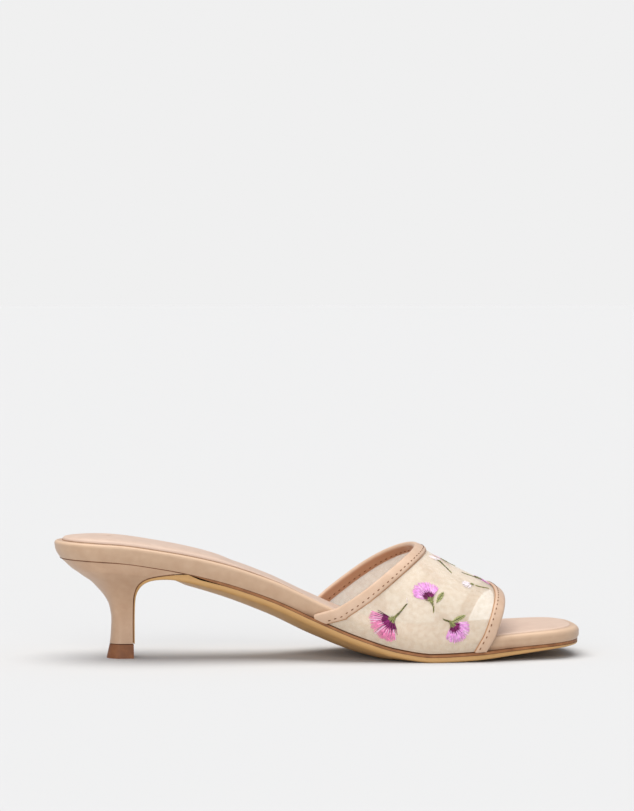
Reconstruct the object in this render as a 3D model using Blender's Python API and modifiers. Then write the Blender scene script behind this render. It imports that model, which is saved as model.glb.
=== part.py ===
"""A kitten heel slide mule for the right foot. Metres: +X to the toe, +Y to the inner side, +Z up.

Every piece is worked out in one working frame, whose zero is the back of the heel on the floor.
The last step stands the shoe with the middle of its underside's box on the world's origin.
"""

import math
from bisect import bisect_right
from collections import namedtuple

import bmesh
import bpy
from mathutils import Vector

# Driving sizes
SHOE_LENGTH = 0.245
BALL_WIDTH = 0.083              # footbed, across the ball
SEAT_HEIGHT = 0.0470            # floor to the footbed's underside, at the back of the heel
INSTEP_HEIGHT = 0.0519          # floor to the vamp's ridge, at the collar
TOE_SPRING = 0.0045

FOOTBED_THICKNESS = 0.0080
FOOTBED_UNDERCUT = 0.0027       # how far the footbed's side leans in, at the heel
FOOTBED_ROUNDING = 0.0018       # radius of its upper edge, at the heel
INSOLE_THICKNESS = 0.0026
INSOLE_EDGE = 0.0009
INSOLE_INSET = 0.0026           # footbed's edge to the insole's
MIDSOLE_THICKNESS = 0.0010
OUTSOLE_EDGE = 0.0023           # at the ball
SHANK_DEPTH = 0.0052            # how far the outsole's dome hangs below its edge, under the arch
FLAP_THICKNESS = 0.0008         # the outsole's tongue, down the front of the heel

HEEL_SEAT_BACK = 0.0029         # back of the shoe to the back of the heel's seat
HEEL_SEAT_LENGTH = 0.0555
HEEL_STEM_BACK = 0.0256         # back of the shoe to the back of the stem
HEEL_STEM_LENGTH = 0.0104
HEEL_STEM_WIDTH = 0.0116
TOP_PIECE_HEIGHT = 0.0065
TOP_PIECE_SPLAY = 0.0014        # how much further it reaches at the floor than at its top

UPPER_WALL = 0.00085
BINDING_WALL = 0.0007
COLLAR_BINDING_WIDTH = 0.0058   # edge of the rim to the leg's end
TOE_BINDING_WIDTH = 0.0054

GAP = 0.0003                    # clearance between pieces that touch
WELD = 0.000001

# What follows from them
STACK = OUTSOLE_EDGE + MIDSOLE_THICKNESS + 2 * GAP
UPPER_REACH = 3 * GAP + BINDING_WALL + UPPER_WALL    # vamp's outside to the footbed's side
HEEL_SEAT_FRONT = HEEL_SEAT_BACK + HEEL_SEAT_LENGTH
HEEL_STEM_FRONT = HEEL_STEM_BACK + HEEL_STEM_LENGTH
HEEL_FLOOR = TOP_PIECE_HEIGHT + GAP
HEEL_CAP = 0.110 * SHOE_LENGTH      # length of the plan's round ends
TOE_CAP = 0.098 * SHOE_LENGTH
HEEL_ROUNDNESS = 2.1
TOE_ROUNDNESS = 3.0

OUTER, INNER = -1, 1                # sides of the foot

BODY_STATIONS = 33
CAP_STATIONS = 8
AROUND_STEPS = 32               # of the vamp, from sole to sole
SKIRT_STEPS = 3                 # those beside the footbed
SHOULDER = 0.9                  # of the footbed's height, where the vamp's arch springs


def table(columns, *rows):
    """Named columns of a table that has one row for each section."""
    return {name: [row[i] for row in rows] for i, name in enumerate(columns.split())}


# Half widths of the footbed, as shares of the ball width, by share of the length
PLAN = table(
    "along  inner  outer",
    (0.000, 0.295, 0.301),
    (0.102, 0.319, 0.319),
    (0.204, 0.295, 0.313),
    (0.306, 0.253, 0.301),
    (0.388, 0.247, 0.307),
    (0.469, 0.301, 0.355),
    (0.551, 0.398, 0.416),
    (0.633, 0.476, 0.464),
    (0.702, 0.506, 0.494),
    (0.776, 0.494, 0.488),
    (0.857, 0.446, 0.446),
    (0.939, 0.404, 0.392),
    (1.000, 0.373, 0.343),
)

# pitch: the heel's rise, of the seat height over the stack; spring: of the toe spring;
# bed: of the footbed's thickness; tuck: of its undercut; round: of its rounding;
# pad: of the insole's thickness; set_in: of its inset; edge: of the outsole's edge;
# dome: of the shank depth; flat: the middle of the outsole that stays level, of its half width;
# lay: how far the sole comes out under the vamp, of the vamp's reach
SIDE = table(
    "along  pitch  spring  bed   tuck   round  pad   set_in  edge   dome   flat   lay",
    (0.000, 1.000, 0.000, 1.00, 1.00,  1.00,  0.85, 1.50,   1.00,  0.00,  0.00,  0.00),
    (0.100, 0.975, 0.000, 1.00, 1.00,  1.00,  0.92, 1.15,   1.00,  0.15,  0.00,  0.00),
    (0.200, 0.895, 0.000, 1.00, 1.00,  1.00,  0.90, 1.00,   1.00,  0.38,  0.00,  0.00),
    (0.300, 0.768, 0.000, 1.02, 0.95,  1.00,  0.62, 1.00,   1.00,  0.65,  0.00,  0.00),
    (0.400, 0.580, 0.000, 1.00, 0.85,  1.00,  0.60, 1.00,   1.00,  0.88,  0.00,  0.15),
    (0.480, 0.378, 0.000, 0.95, 0.72,  1.00,  0.55, 1.00,   1.00,  1.00,  0.10,  0.80),
    (0.560, 0.185, 0.000, 0.87, 0.60,  1.00,  0.60, 1.00,   1.00,  0.88,  0.30,  1.10),
    (0.640, 0.045, 0.000, 0.81, 0.52,  1.05,  0.65, 1.00,   1.00,  0.48,  0.55,  1.15),
    (0.700, 0.000, 0.000, 0.79, 0.48,  1.15,  0.65, 1.00,   1.00,  0.15,  0.70,  1.15),
    (0.780, 0.000, 0.170, 0.77, 0.44,  1.30,  0.60, 1.10,   0.95,  0.10,  0.75,  1.15),
    (0.860, 0.000, 0.510, 0.76, 0.40,  1.50,  0.52, 1.30,   0.78,  0.06,  0.75,  0.45),
    (0.930, 0.000, 0.770, 0.75, 0.38,  1.70,  0.45, 1.50,   0.52,  0.02,  0.70,  0.05),
    (1.000, 0.000, 1.000, 0.75, 0.37,  1.90,  0.45, 1.70,   0.32,  0.00,  0.60,  0.00),
)

# The vamp's ridge: its height, of the instep height, how far it leans to the inner side, of the
# ball width, and how square its arch is
RIDGE = table(
    "along  height  lean   square",
    (0.500, 1.390,  0.070, 1.95),
    (0.571, 1.250,  0.070, 1.95),
    (0.612, 1.160,  0.070, 2.00),
    (0.645, 1.085,  0.070, 2.05),
    (0.684, 1.000,  0.068, 2.10),
    (0.713, 0.930,  0.064, 2.20),
    (0.767, 0.785,  0.058, 2.35),
    (0.811, 0.680,  0.052, 2.50),
    (0.846, 0.582,  0.048, 2.60),
    (0.870, 0.515,  0.046, 2.65),
)

# Where the vamp's two edges lie, by share of the length: at the sole, at the footbed's top and
# on the ridge; bows: how late the edge comes forward as it rises, on each side, below 1 for soon
EdgeLine = namedtuple("EdgeLine", "sole shoulder ridge outer_bow inner_bow")
COLLAR_EDGE = EdgeLine(0.482, 0.518, 0.684, 0.93, 1.03)
TOE_EDGE = EdgeLine(0.795, 0.808, 0.845, 0.70, 0.70)

# The heel, from its top piece up: how far its back, its front and its sides have flared from the
# stem to the seat, and the flap's thickness, of the flap's own
HEEL = table(
    "along  back    front   sides  flap",
    (0.000, 0.000,  0.000,  0.02,  0.95),
    (0.078, -0.017, 0.000,  0.01,  0.95),
    (0.285, -0.035, 0.000,  0.00,  0.95),
    (0.454, 0.009,  0.000,  0.07,  1.00),
    (0.571, 0.114,  0.004,  0.20,  1.20),
    (0.668, 0.262,  0.028,  0.36,  1.70),
    (0.741, 0.389,  0.075,  0.52,  2.10),
    (0.798, 0.546,  0.145,  0.66,  2.20),
    (0.847, 0.668,  0.250,  0.78,  2.20),
    (0.882, 0.764,  0.370,  0.86,  2.25),
    (0.940, 0.880,  0.655,  0.94,  3.20),
    (1.000, 1.000,  1.000,  1.00,  5.60),
)
HEEL_LEVELS = (0, 0.078, 0.18, 0.285, 0.37, 0.454, 0.515, 0.571, 0.62, 0.668, 0.705, 0.741, 0.77,
               0.798, 0.823, 0.847, 0.882, 0.91, 0.94, 0.97, 1)
HEEL_RING = (1, 0.8, 0.6, 0.42, 0.27, 0.16, 0.085, 0.035, 0.009, 0)     # shares from front to back
STEM_ROUND_SHARE = 0.55         # of the stem's length, its round back
STEM_SQUARENESS = 2.2


def curve(sections, column):
    """A smooth curve through one column of a table, which never overshoots its rows."""
    at = sections["along"]
    values = sections[column]
    steps = [b - a for a, b in zip(at, at[1:])]
    rises = [(b - a) / step for a, b, step in zip(values, values[1:], steps)]
    slopes = [rises[0]]
    for before, after in zip(rises, rises[1:]):
        turns = before * after <= 0
        slopes.append(0 if turns else 2 * before * after / (before + after))
    slopes.append(rises[-1])

    def follow(share):
        share = min(max(share, at[0]), at[-1])
        i = min(bisect_right(at, share), len(steps)) - 1
        t = (share - at[i]) / steps[i]
        held = values[i] * (1 + 2 * t) * (1 - t) ** 2 + values[i + 1] * t * t * (3 - 2 * t)
        bent = slopes[i] * t * (1 - t) ** 2 - slopes[i + 1] * t * t * (1 - t)
        return held + steps[i] * bent

    return follow


PLAN_EDGE = {OUTER: curve(PLAN, "outer"), INNER: curve(PLAN, "inner")}
SIDE_CURVE = {name: curve(SIDE, name) for name in SIDE}
RIDGE_CURVE = {name: curve(RIDGE, name) for name in RIDGE}
HEEL_CURVE = {name: curve(HEEL, name) for name in HEEL}


def of_side(name, x):
    """A value of the side table, at a distance from the back of the shoe."""
    return SIDE_CURVE[name](x / SHOE_LENGTH)


def blend(a, b, share):
    """The value a share of the way from a to b."""
    return a + (b - a) * share


def cap(distance, length, roundness):
    """How wide a round end is at a distance from its tip: 0 at the tip, 1 past its length."""
    short = max(0.0, 1 - distance / length)
    return (1 - short ** roundness) ** (1 / roundness)


def half_width(x, side):
    """Half the footbed's width, from the axis to one side."""
    width = BALL_WIDTH * PLAN_EDGE[side](x / SHOE_LENGTH)
    return width * cap(x, HEEL_CAP, HEEL_ROUNDNESS) * cap(SHOE_LENGTH - x, TOE_CAP, TOE_ROUNDNESS)


def offset_width(x, side, reach):
    """Half width of a line that runs outside the footbed's edge by the same reach all along."""
    nearby = 0.002
    widening = (half_width(x + nearby, side) - half_width(x - nearby, side)) / (2 * nearby)
    return half_width(x, side) + reach * math.hypot(1, widening)


def underside(x):
    """Height of the footbed's underside."""
    rise = (SEAT_HEIGHT - STACK) * of_side("pitch", x)
    return STACK + rise + TOE_SPRING * of_side("spring", x)


def bed_height(x):
    """Upright thickness of the footbed, where it slopes too."""
    nearby = 0.002
    slope = (underside(x + nearby) - underside(x - nearby)) / (2 * nearby)
    return FOOTBED_THICKNESS * of_side("bed", x) * math.hypot(1, slope)


def stack(x):
    """Everything under the footbed's edge, where the outsole thins to the toe too."""
    return STACK - OUTSOLE_EDGE * (1 - of_side("edge", x))


def undercut(x):
    """How far the footbed's lower edge lies inside its upper one."""
    return FOOTBED_UNDERCUT * of_side("tuck", x)


def lean_in(x, rise):
    """How far the footbed's side lies inside its widest line, at a share of its height."""
    return undercut(x) * (1 - rise) ** 2


Station = namedtuple("Station", "x spine edge inward")


def station_at(x):
    """A line across the plan: its middle, and each side's edge with the direction inward.

    Past the plan's round ends the middles stay at one point, so that the lines fan out round it.
    """
    nearby = 0.00001
    low, high = max(x - nearby, 0), min(x + nearby, SHOE_LENGTH)
    middle = min(max(x, HEEL_CAP), SHOE_LENGTH - TOE_CAP)
    spine = Vector((middle, (half_width(middle, INNER) - half_width(middle, OUTER)) / 2, 0))
    edge, inward = {}, {}
    for side in (OUTER, INNER):
        edge[side] = Vector((x, side * half_width(x, side), 0))
        widening = (half_width(high, side) - half_width(low, side)) / (high - low)
        at_tip = half_width(x, side) < WELD
        inward[side] = (spine - edge[side] if at_tip else Vector((widening, -side, 0))).normalized()
    return Station(x, spine, edge, inward)


def plan_stations(start=0.0):
    """Stations from a start to the toe, closer together round the plan's ends."""
    turns = [math.pi / 2 * i / CAP_STATIONS for i in range(CAP_STATIONS)]
    heel = [HEEL_CAP * (1 - math.cos(turn) ** (2 / HEEL_ROUNDNESS)) for turn in turns]
    toe = [SHOE_LENGTH - TOE_CAP * (1 - math.cos(turn) ** (2 / TOE_ROUNDNESS)) for turn in turns]
    body_length = SHOE_LENGTH - TOE_CAP - HEEL_CAP
    body = [HEEL_CAP + body_length * i / (BODY_STATIONS - 1) for i in range(BODY_STATIONS)]
    return [station_at(x) for x in heel + body + toe[::-1] if x >= start]


def across(station, side, inset, share=1.0):
    """A plan point, a share of the way from a station's middle to its edge less an inset."""
    edge = station.edge[side] + station.inward[side] * inset
    return station.spine.lerp(edge, share)


def raised(point, height):
    """A plan point at the height that a function of x gives, or at a set height."""
    return Vector((point.x, point.y, height(point.x) if callable(height) else height))


def whole_loop(half):
    """A closed section from a function that gives one side's half, from spine to spine."""
    return half(OUTER) + half(INNER)[::-1]


def new_material(name, colour, roughness):
    """A plain Principled material."""
    material = bpy.data.materials.new(name)
    material.use_nodes = True
    shader = material.node_tree.nodes["Principled BSDF"]
    shader.inputs["Base Color"].default_value = (*colour, 1)
    shader.inputs["Roughness"].default_value = roughness
    shader.inputs["Metallic"].default_value = 0
    return material


def new_object(name, bm, colour, roughness, collection):
    """An object of its own, with its own material, from a finished bmesh."""
    mesh = bpy.data.meshes.new(name)
    bm.to_mesh(mesh)
    bm.free()
    mesh.shade_smooth()
    mesh.set_sharp_from_angle(angle=math.radians(40))
    mesh.materials.append(new_material(name, colour, roughness))
    piece = bpy.data.objects.new(name, mesh)
    collection.objects.link(piece)
    return piece


def loft(loops, closed_first=False, closed_last=False):
    """A closed skin through sections of equal point counts, each paired side to side.

    An end is closed by rungs from one side to the other, or folds shut where its sides meet.
    """
    bm = bmesh.new()
    rings = [[bm.verts.new(point) for point in loop] for loop in loops]
    count = len(rings[0])
    for ring, following in zip(rings, rings[1:]):
        for i in range(count):
            j = (i + 1) % count
            bm.faces.new((ring[i], ring[j], following[j], following[i]))
    for ring in rings[:1] * closed_first + rings[-1:] * closed_last:
        for i in range(count // 2 - 1):
            bm.faces.new((ring[i], ring[i + 1], ring[count - 2 - i], ring[count - 1 - i]))
    bmesh.ops.remove_doubles(bm, verts=bm.verts, dist=WELD)
    bmesh.ops.dissolve_degenerate(bm, edges=bm.edges, dist=WELD)
    bmesh.ops.recalc_face_normals(bm, faces=bm.faces)
    return bm


def shell(name, rows, wall, offset, colour, roughness, collection):
    """An open surface through rows of points, given its wall by Solidify."""
    bm = bmesh.new()
    grid = [[bm.verts.new(point) for point in row] for row in rows]
    for row, following in zip(grid, grid[1:]):
        for i in range(len(row) - 1):
            bm.faces.new((row[i], row[i + 1], following[i + 1], following[i]))
    bmesh.ops.recalc_face_normals(bm, faces=bm.faces)
    piece = new_object(name, bm, colour, roughness, collection)
    solidify = piece.modifiers.new("wall", "SOLIDIFY")
    solidify.thickness = wall
    solidify.offset = offset
    solidify.use_even_offset = True
    return piece


def make_footbed(collection):
    """The wrapped platform: flat underneath, side leaning in, upper edge rounded."""
    def section(station):
        def half(side):
            height = bed_height(station.x)
            points = [raised(across(station, side, undercut(station.x), share), underside)
                      for share in (0, 0.5, 1)]
            radius = FOOTBED_ROUNDING * of_side("round", station.x)
            straight = 1 - radius / height
            for rise in (0.35 * straight, 0.7 * straight):
                plan = across(station, side, lean_in(station.x, rise))
                points.append(raised(plan, lambda x: underside(x) + bed_height(x) * rise))
            for turn in (0, 30, 60, 90):
                angle = math.radians(turn)
                drop = radius * (1 - math.sin(angle))
                rise = 1 - drop / height
                inset = lean_in(station.x, rise) + radius * (1 - math.cos(angle))
                plan = across(station, side, inset)
                points.append(raised(plan, lambda x: underside(x) + bed_height(x) - drop))
            for share in (0.5, 0):
                plan = across(station, side, radius, share)
                points.append(raised(plan, lambda x: underside(x) + bed_height(x)))
            return points
        return whole_loop(half)

    bm = loft([section(station) for station in plan_stations()])
    return new_object("footbed", bm, (0.57, 0.38, 0.25), 0.45, collection)


def make_insole(collection):
    """The padded sock: a thin edge that swells to its full thickness."""
    swell = ((0, 0), (0.05, 0.4), (0.2, 0.8), (0.5, 1))      # share of the way in, of the swell

    def floor(x):
        return underside(x) + bed_height(x) + GAP

    def section(station):
        inset = INSOLE_INSET * of_side("set_in", station.x)
        full = INSOLE_THICKNESS * of_side("pad", station.x)

        def half(side):
            points = [raised(across(station, side, inset, share), floor) for share in (0, 0.5, 1)]
            for inside, fullness in swell:
                plan = across(station, side, inset, 1 - inside)
                thickness = blend(INSOLE_EDGE, full, fullness)
                points.append(raised(plan, lambda x: floor(x) + thickness))
            points.append(raised(station.spine, lambda x: floor(x) + full))
            return points
        return whole_loop(half)

    bm = loft([section(station) for station in plan_stations()])
    return new_object("insole", bm, (0.80, 0.60, 0.47), 0.5, collection)


def sole_inset(x):
    """The sole's edge, in from the footbed's widest line: it follows the tuck, then the vamp."""
    return undercut(x) - UPPER_REACH * of_side("lay", x)


MIDSOLE_BACK = HEEL_SEAT_FRONT + 0.008
RAMP_TOP = HEEL_SEAT_FRONT + 0.002      # behind the midsole the outsole rises to the footbed
RAMP_FOOT = HEEL_SEAT_FRONT + 0.0075
FIRST_SHARED_STATION = HEEL_SEAT_FRONT + 0.011


def make_midsole(collection):
    """The thin layer that shows as a line between the footbed and the outsole."""
    def section(station):
        inset = sole_inset(station.x)

        def half(side):
            below = GAP + MIDSOLE_THICKNESS
            lower = [raised(across(station, side, inset, share), lambda x: underside(x) - below)
                     for share in (0, 0.5, 1)]
            upper = [raised(across(station, side, inset, share), lambda x: underside(x) - GAP)
                     for share in (1, 0.5, 0)]
            return lower + upper
        return whole_loop(half)

    stations = [station_at(MIDSOLE_BACK)] + plan_stations(FIRST_SHARED_STATION)
    bm = loft([section(station) for station in stations], closed_first=True)
    return new_object("midsole", bm, (0.30, 0.15, 0.08), 0.6, collection)


def outsole_top(x):
    """Height of the outsole's upper face, which rises to the footbed behind the midsole."""
    ramp = min(max((x - RAMP_TOP) / (RAMP_FOOT - RAMP_TOP), 0), 1)
    return underside(x) - GAP - (MIDSOLE_THICKNESS + GAP) * ramp


def outsole_bottom(x, reach):
    """Height of the outsole's underside, at a share of the way from its middle to its edge."""
    edge = underside(x) - stack(x)
    middle = max(0, edge - SHANK_DEPTH * of_side("dome", x))
    flat = of_side("flat", x)
    rise = (max(0, reach - flat) / (1 - flat)) ** 2
    return max(0, blend(middle, edge, rise))


OUTSOLE_ACROSS = (1, 0.88, 0.7, 0.5, 0.25, 0)   # shares of the half width, edge to middle


def heel_x(level, share):
    """X of a point of the heel: level 0 at the top piece to 1 at the seat, share 0 at the back."""
    back = blend(HEEL_STEM_BACK, HEEL_SEAT_BACK, HEEL_CURVE["back"](level))
    front = blend(HEEL_STEM_FRONT, HEEL_SEAT_FRONT, HEEL_CURVE["front"](level))
    return blend(back, front, share)


def heel_z(level, x):
    """Height of a level of the heel, whose top follows the footbed's underside."""
    return blend(HEEL_FLOOR, underside(x) - GAP, level)


def seat_half_width(share, side):
    """Half width of the heel's seat, just inside the footbed's lower edge."""
    x = blend(HEEL_SEAT_BACK, HEEL_SEAT_FRONT, share)
    width = BALL_WIDTH * PLAN_EDGE[side](x / SHOE_LENGTH) - undercut(x)
    return width * cap(x - HEEL_SEAT_BACK, HEEL_CAP, HEEL_ROUNDNESS)


def stem_half_width(share):
    """Half width of the stem: round behind and flat in front."""
    return HEEL_STEM_WIDTH / 2 * cap(share, STEM_ROUND_SHARE, STEM_SQUARENESS)


def heel_half_width(level, share, side):
    """Half width of the heel at one of its levels."""
    flare = HEEL_CURVE["sides"](level)
    return blend(stem_half_width(share), seat_half_width(share, side), flare)


def make_heel(collection):
    """The wrapped kitten heel: level rings, from the stem to the seat."""
    def ring(level):
        def half(side):
            points = []
            for share in HEEL_RING:
                x = heel_x(level, share)
                y = side * heel_half_width(level, share, side)
                points.append(Vector((x, y, heel_z(level, x))))
            return points
        return whole_loop(half)

    bm = loft([ring(level) for level in HEEL_LEVELS], closed_first=True, closed_last=True)
    return new_object("heel", bm, (0.55, 0.35, 0.23), 0.42, collection)


def make_top_piece(collection):
    """The rubber block under the stem, a little wider at the floor."""
    reach = FLAP_THICKNESS / 2

    def ring(height, splay):
        def half(side):
            points = []
            for share in HEEL_RING:
                x = blend(HEEL_STEM_BACK - splay, HEEL_STEM_FRONT + reach, share)
                y = side * (stem_half_width(share) + splay * cap(share, STEM_ROUND_SHARE, 2))
                points.append(Vector((x, y, height)))
            return points
        return whole_loop(half)

    bm = loft([ring(0, TOP_PIECE_SPLAY), ring(TOP_PIECE_HEIGHT, 0)], True, True)
    return new_object("top_piece", bm, (0.20, 0.09, 0.04), 0.65, collection)


def flap_line(level):
    """The heel's front at one level: its point and the direction out of it, in the side view."""
    nearby = 0.004
    low, high = max(level - nearby, 0), min(level + nearby, 1)
    x = heel_x(level, 1)
    along_x = heel_x(high, 1) - heel_x(low, 1)
    along_z = heel_z(high, heel_x(high, 1)) - heel_z(low, heel_x(low, 1))
    return Vector((x, 0, heel_z(level, x))), Vector((along_z, 0, -along_x)).normalized()


def make_outsole(collection):
    """The outsole: thin at its edge, domed under the arch, and on down the front of the heel."""
    def sole_section(station):
        inset = sole_inset(station.x)

        def half(side):
            points = [raised(across(station, side, inset, share), outsole_top)
                      for share in (0, 0.5, 1)]
            for share in OUTSOLE_ACROSS:
                plan = across(station, side, inset, share)
                points.append(raised(plan, lambda x: outsole_bottom(x, share)))
            return points
        return whole_loop(half)

    def flap_section(level):
        start, outward = flap_line(level)
        thickness = FLAP_THICKNESS * HEEL_CURVE["flap"](level)

        def half(side):
            width = side * heel_half_width(level, 1, side)
            inner = start + outward * GAP
            points = [inner + Vector((0, width * share, 0)) for share in (0, 0.5, 1)]
            for share in OUTSOLE_ACROSS:
                thinning = 1 - 0.25 * share ** 2
                outer = inner + outward * thickness * thinning
                points.append(outer + Vector((0, width * share, 0)))
            return points
        return whole_loop(half)

    behind = [station_at(x) for x in (RAMP_TOP, RAMP_FOOT)]
    stations = behind + plan_stations(FIRST_SHARED_STATION)
    flap = [flap_section(level) for level in HEEL_LEVELS if level < 0.98]
    bm = loft(flap + [sole_section(station) for station in stations], closed_first=True)
    return new_object("outsole", bm, (0.62, 0.38, 0.16), 0.5, collection)


def vamp_point(x, around):
    """A point of the vamp's outside: around is 0 at the sole's outer side, 1 at its inner side."""
    share = x / SHOE_LENGTH
    skirt = SKIRT_STEPS / AROUND_STEPS
    side = OUTER if around < 0.5 else INNER
    from_sole = min(around, 1 - around)
    shoulder = bed_height(x) * SHOULDER
    if from_sole <= skirt:
        rise = from_sole / skirt
        width = offset_width(x, side, UPPER_REACH - lean_in(x, rise))
        return Vector((x, side * width, underside(x) + blend(GAP, shoulder, rise)))
    width = offset_width(x, side, UPPER_REACH)
    turn = math.pi / 2 * (from_sole - skirt) / (0.5 - skirt)
    power = 2 / RIDGE_CURVE["square"](share)
    lean = BALL_WIDTH * RIDGE_CURVE["lean"](share)
    base = underside(x) + shoulder
    ridge = INSTEP_HEIGHT * RIDGE_CURVE["height"](share)
    y = lean + (side * width - lean) * max(0, math.cos(turn)) ** power
    return Vector((x, y, blend(base, ridge, math.sin(turn) ** power)))


def edge_x(edge, around):
    """X of one of the vamp's edges, round from the outer side to the inner side."""
    skirt = SKIRT_STEPS / AROUND_STEPS
    from_sole = min(around, 1 - around)
    if from_sole <= skirt:
        return SHOE_LENGTH * blend(edge.sole, edge.shoulder, from_sole / skirt)
    turn = math.pi / 2 * (from_sole - skirt) / (0.5 - skirt)
    bow = edge.outer_bow if around < 0.5 else edge.inner_bow
    return SHOE_LENGTH * blend(edge.shoulder, edge.ridge, math.sin(turn) ** bow)


def make_upper(collection):
    """The mesh vamp, from edge to edge."""
    rows = []
    for i in range(11):
        row = []
        for step in range(AROUND_STEPS + 1):
            around = step / AROUND_STEPS
            x = blend(edge_x(COLLAR_EDGE, around), edge_x(TOE_EDGE, around), i / 10)
            row.append(vamp_point(x, around))
        rows.append(row)
    return shell("upper", rows, UPPER_WALL, -1, (0.87, 0.78, 0.66), 0.8, collection)


def make_binding(name, edge, inward_sign, width, collection):
    """A strip folded round one of the vamp's edges: outer leg, round rim and inner leg."""
    rim = UPPER_WALL / 2 + GAP + BINDING_WALL / 2
    leg_width = width - rim - BINDING_WALL / 2
    rows = []
    for step in range(AROUND_STEPS + 1):
        around = step / AROUND_STEPS
        x = edge_x(edge, around)
        before, after = max(around - 0.01, 0), min(around + 0.01, 1)
        rim_line = vamp_point(edge_x(edge, after), after) - vamp_point(edge_x(edge, before), before)
        along = rim_line.normalized()
        nearby = 0.001 * inward_sign
        lengthwise = (vamp_point(x + nearby, around) - vamp_point(x, around)) / 0.001
        outward = lengthwise.cross(along).normalized()
        if outward.dot(vamp_point(x, around) - Vector((x, 0, underside(x)))) < 0:
            outward = -outward
        into = lengthwise - along * lengthwise.dot(along)
        reach = inward_sign * leg_width / into.length
        into = into.normalized()

        def leg(share, depth):
            spot = vamp_point(x + reach * share, around)
            return spot + outward * depth

        row = [leg(share, GAP + BINDING_WALL / 2) for share in (1, 0.5, 0)]
        middle = vamp_point(x, around) - outward * UPPER_WALL / 2
        for turn in (45, 90, 135):
            angle = math.radians(turn)
            row.append(middle + (outward * math.cos(angle) - into * math.sin(angle)) * rim)
        row += [leg(share, -UPPER_WALL - GAP - BINDING_WALL / 2) for share in (0, 0.5, 1)]
        rows.append(row)
    return shell(name, rows, BINDING_WALL, 0, (0.60, 0.40, 0.27), 0.45, collection)


def stand_on_origin(pieces):
    """Move the pieces together, to centre the underside of their box on the origin."""
    bpy.context.view_layer.update()
    corners = [Vector(corner) for piece in pieces for corner in piece.bound_box]
    lows = [min(corner[axis] for corner in corners) for axis in range(3)]
    highs = [max(corner[axis] for corner in corners) for axis in range(3)]
    for piece in pieces:
        piece.location = (-(lows[0] + highs[0]) / 2, -(lows[1] + highs[1]) / 2, -lows[2])


def main():
    for old in list(bpy.data.objects):
        bpy.data.objects.remove(old, do_unlink=True)
    collection = bpy.data.collections.new("high_heel_shoe")
    bpy.context.scene.collection.children.link(collection)
    pieces = [
        make_footbed(collection),
        make_insole(collection),
        make_midsole(collection),
        make_outsole(collection),
        make_heel(collection),
        make_top_piece(collection),
        make_upper(collection),
        make_binding("collar_binding", COLLAR_EDGE, 1, COLLAR_BINDING_WIDTH, collection),
        make_binding("toe_binding", TOE_EDGE, -1, TOE_BINDING_WIDTH, collection),
    ]
    stand_on_origin(pieces)


main()
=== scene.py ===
# High heel shoe: a kitten heel slide mule for the right foot, dressed for its picture.
# Shapes are worked out from the back of the heel on the floor, as in the part, and then moved.

import math
import random
from bisect import bisect_right

import bmesh
import bpy
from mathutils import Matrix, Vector


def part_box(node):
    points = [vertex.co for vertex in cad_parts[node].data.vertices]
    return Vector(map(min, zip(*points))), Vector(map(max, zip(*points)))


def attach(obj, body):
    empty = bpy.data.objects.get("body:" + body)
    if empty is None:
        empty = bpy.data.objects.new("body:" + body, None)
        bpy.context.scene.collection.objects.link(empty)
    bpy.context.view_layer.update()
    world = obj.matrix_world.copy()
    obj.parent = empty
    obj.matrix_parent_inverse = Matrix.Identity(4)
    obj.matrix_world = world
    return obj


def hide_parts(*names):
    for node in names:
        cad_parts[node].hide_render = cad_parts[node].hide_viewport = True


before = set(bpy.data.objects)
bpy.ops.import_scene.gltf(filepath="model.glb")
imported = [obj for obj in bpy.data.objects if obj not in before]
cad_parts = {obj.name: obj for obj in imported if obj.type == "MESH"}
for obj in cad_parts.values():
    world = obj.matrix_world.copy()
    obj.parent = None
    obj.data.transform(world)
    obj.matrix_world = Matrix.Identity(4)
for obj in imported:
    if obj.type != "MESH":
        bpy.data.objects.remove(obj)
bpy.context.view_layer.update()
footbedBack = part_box("footbed")[0][0]
place = Vector((footbedBack, -0.000341, 0))  # from the heel's back to the frame's origin

# the camera, at the photograph's angle

view = {
    "azimuth": -6.5,      # degrees, towards the heel
    "elevation": 5.0,
    "distance": 1.8,      # metres
    "lookAt": (0, 0, 0.027),
    "pixelsPerMetre": 2141.0,    # at the shoe
    "lookAtPixel": (316.7, 597.2),
    "frameSize": (634, 811),
    "sensor": 36.0,
}


def addCamera():
    a, e = math.radians(view["azimuth"]), math.radians(view["elevation"])
    back = Vector((math.sin(a) * math.cos(e), -math.cos(a) * math.cos(e), math.sin(e)))
    up = Vector((-math.sin(a) * math.sin(e), math.cos(a) * math.sin(e), math.cos(e)))
    right = Vector((math.cos(a), math.sin(a), 0))
    width, height = view["frameSize"]
    scale = view["pixelsPerMetre"]
    target = Vector(view["lookAt"])
    spot = target + back * view["distance"]
    px, py = view["lookAtPixel"]
    aim = target + up * ((py - height / 2) / scale) - right * ((px - width / 2) / scale)
    data = bpy.data.cameras.new("photoCamera")
    data.sensor_width = view["sensor"]
    data.lens = scale * view["distance"] * view["sensor"] / height
    camera = bpy.data.objects.new("photoCamera", data)
    camera.location = spot
    camera.rotation_euler = (aim - spot).to_track_quat("-Z", "Y").to_euler()
    bpy.context.scene.collection.objects.link(camera)
    bpy.context.scene.camera = camera


addCamera()
print("camera: in place")

# sizes and tables that the shapes share, metres or shares of the named sizes

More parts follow.
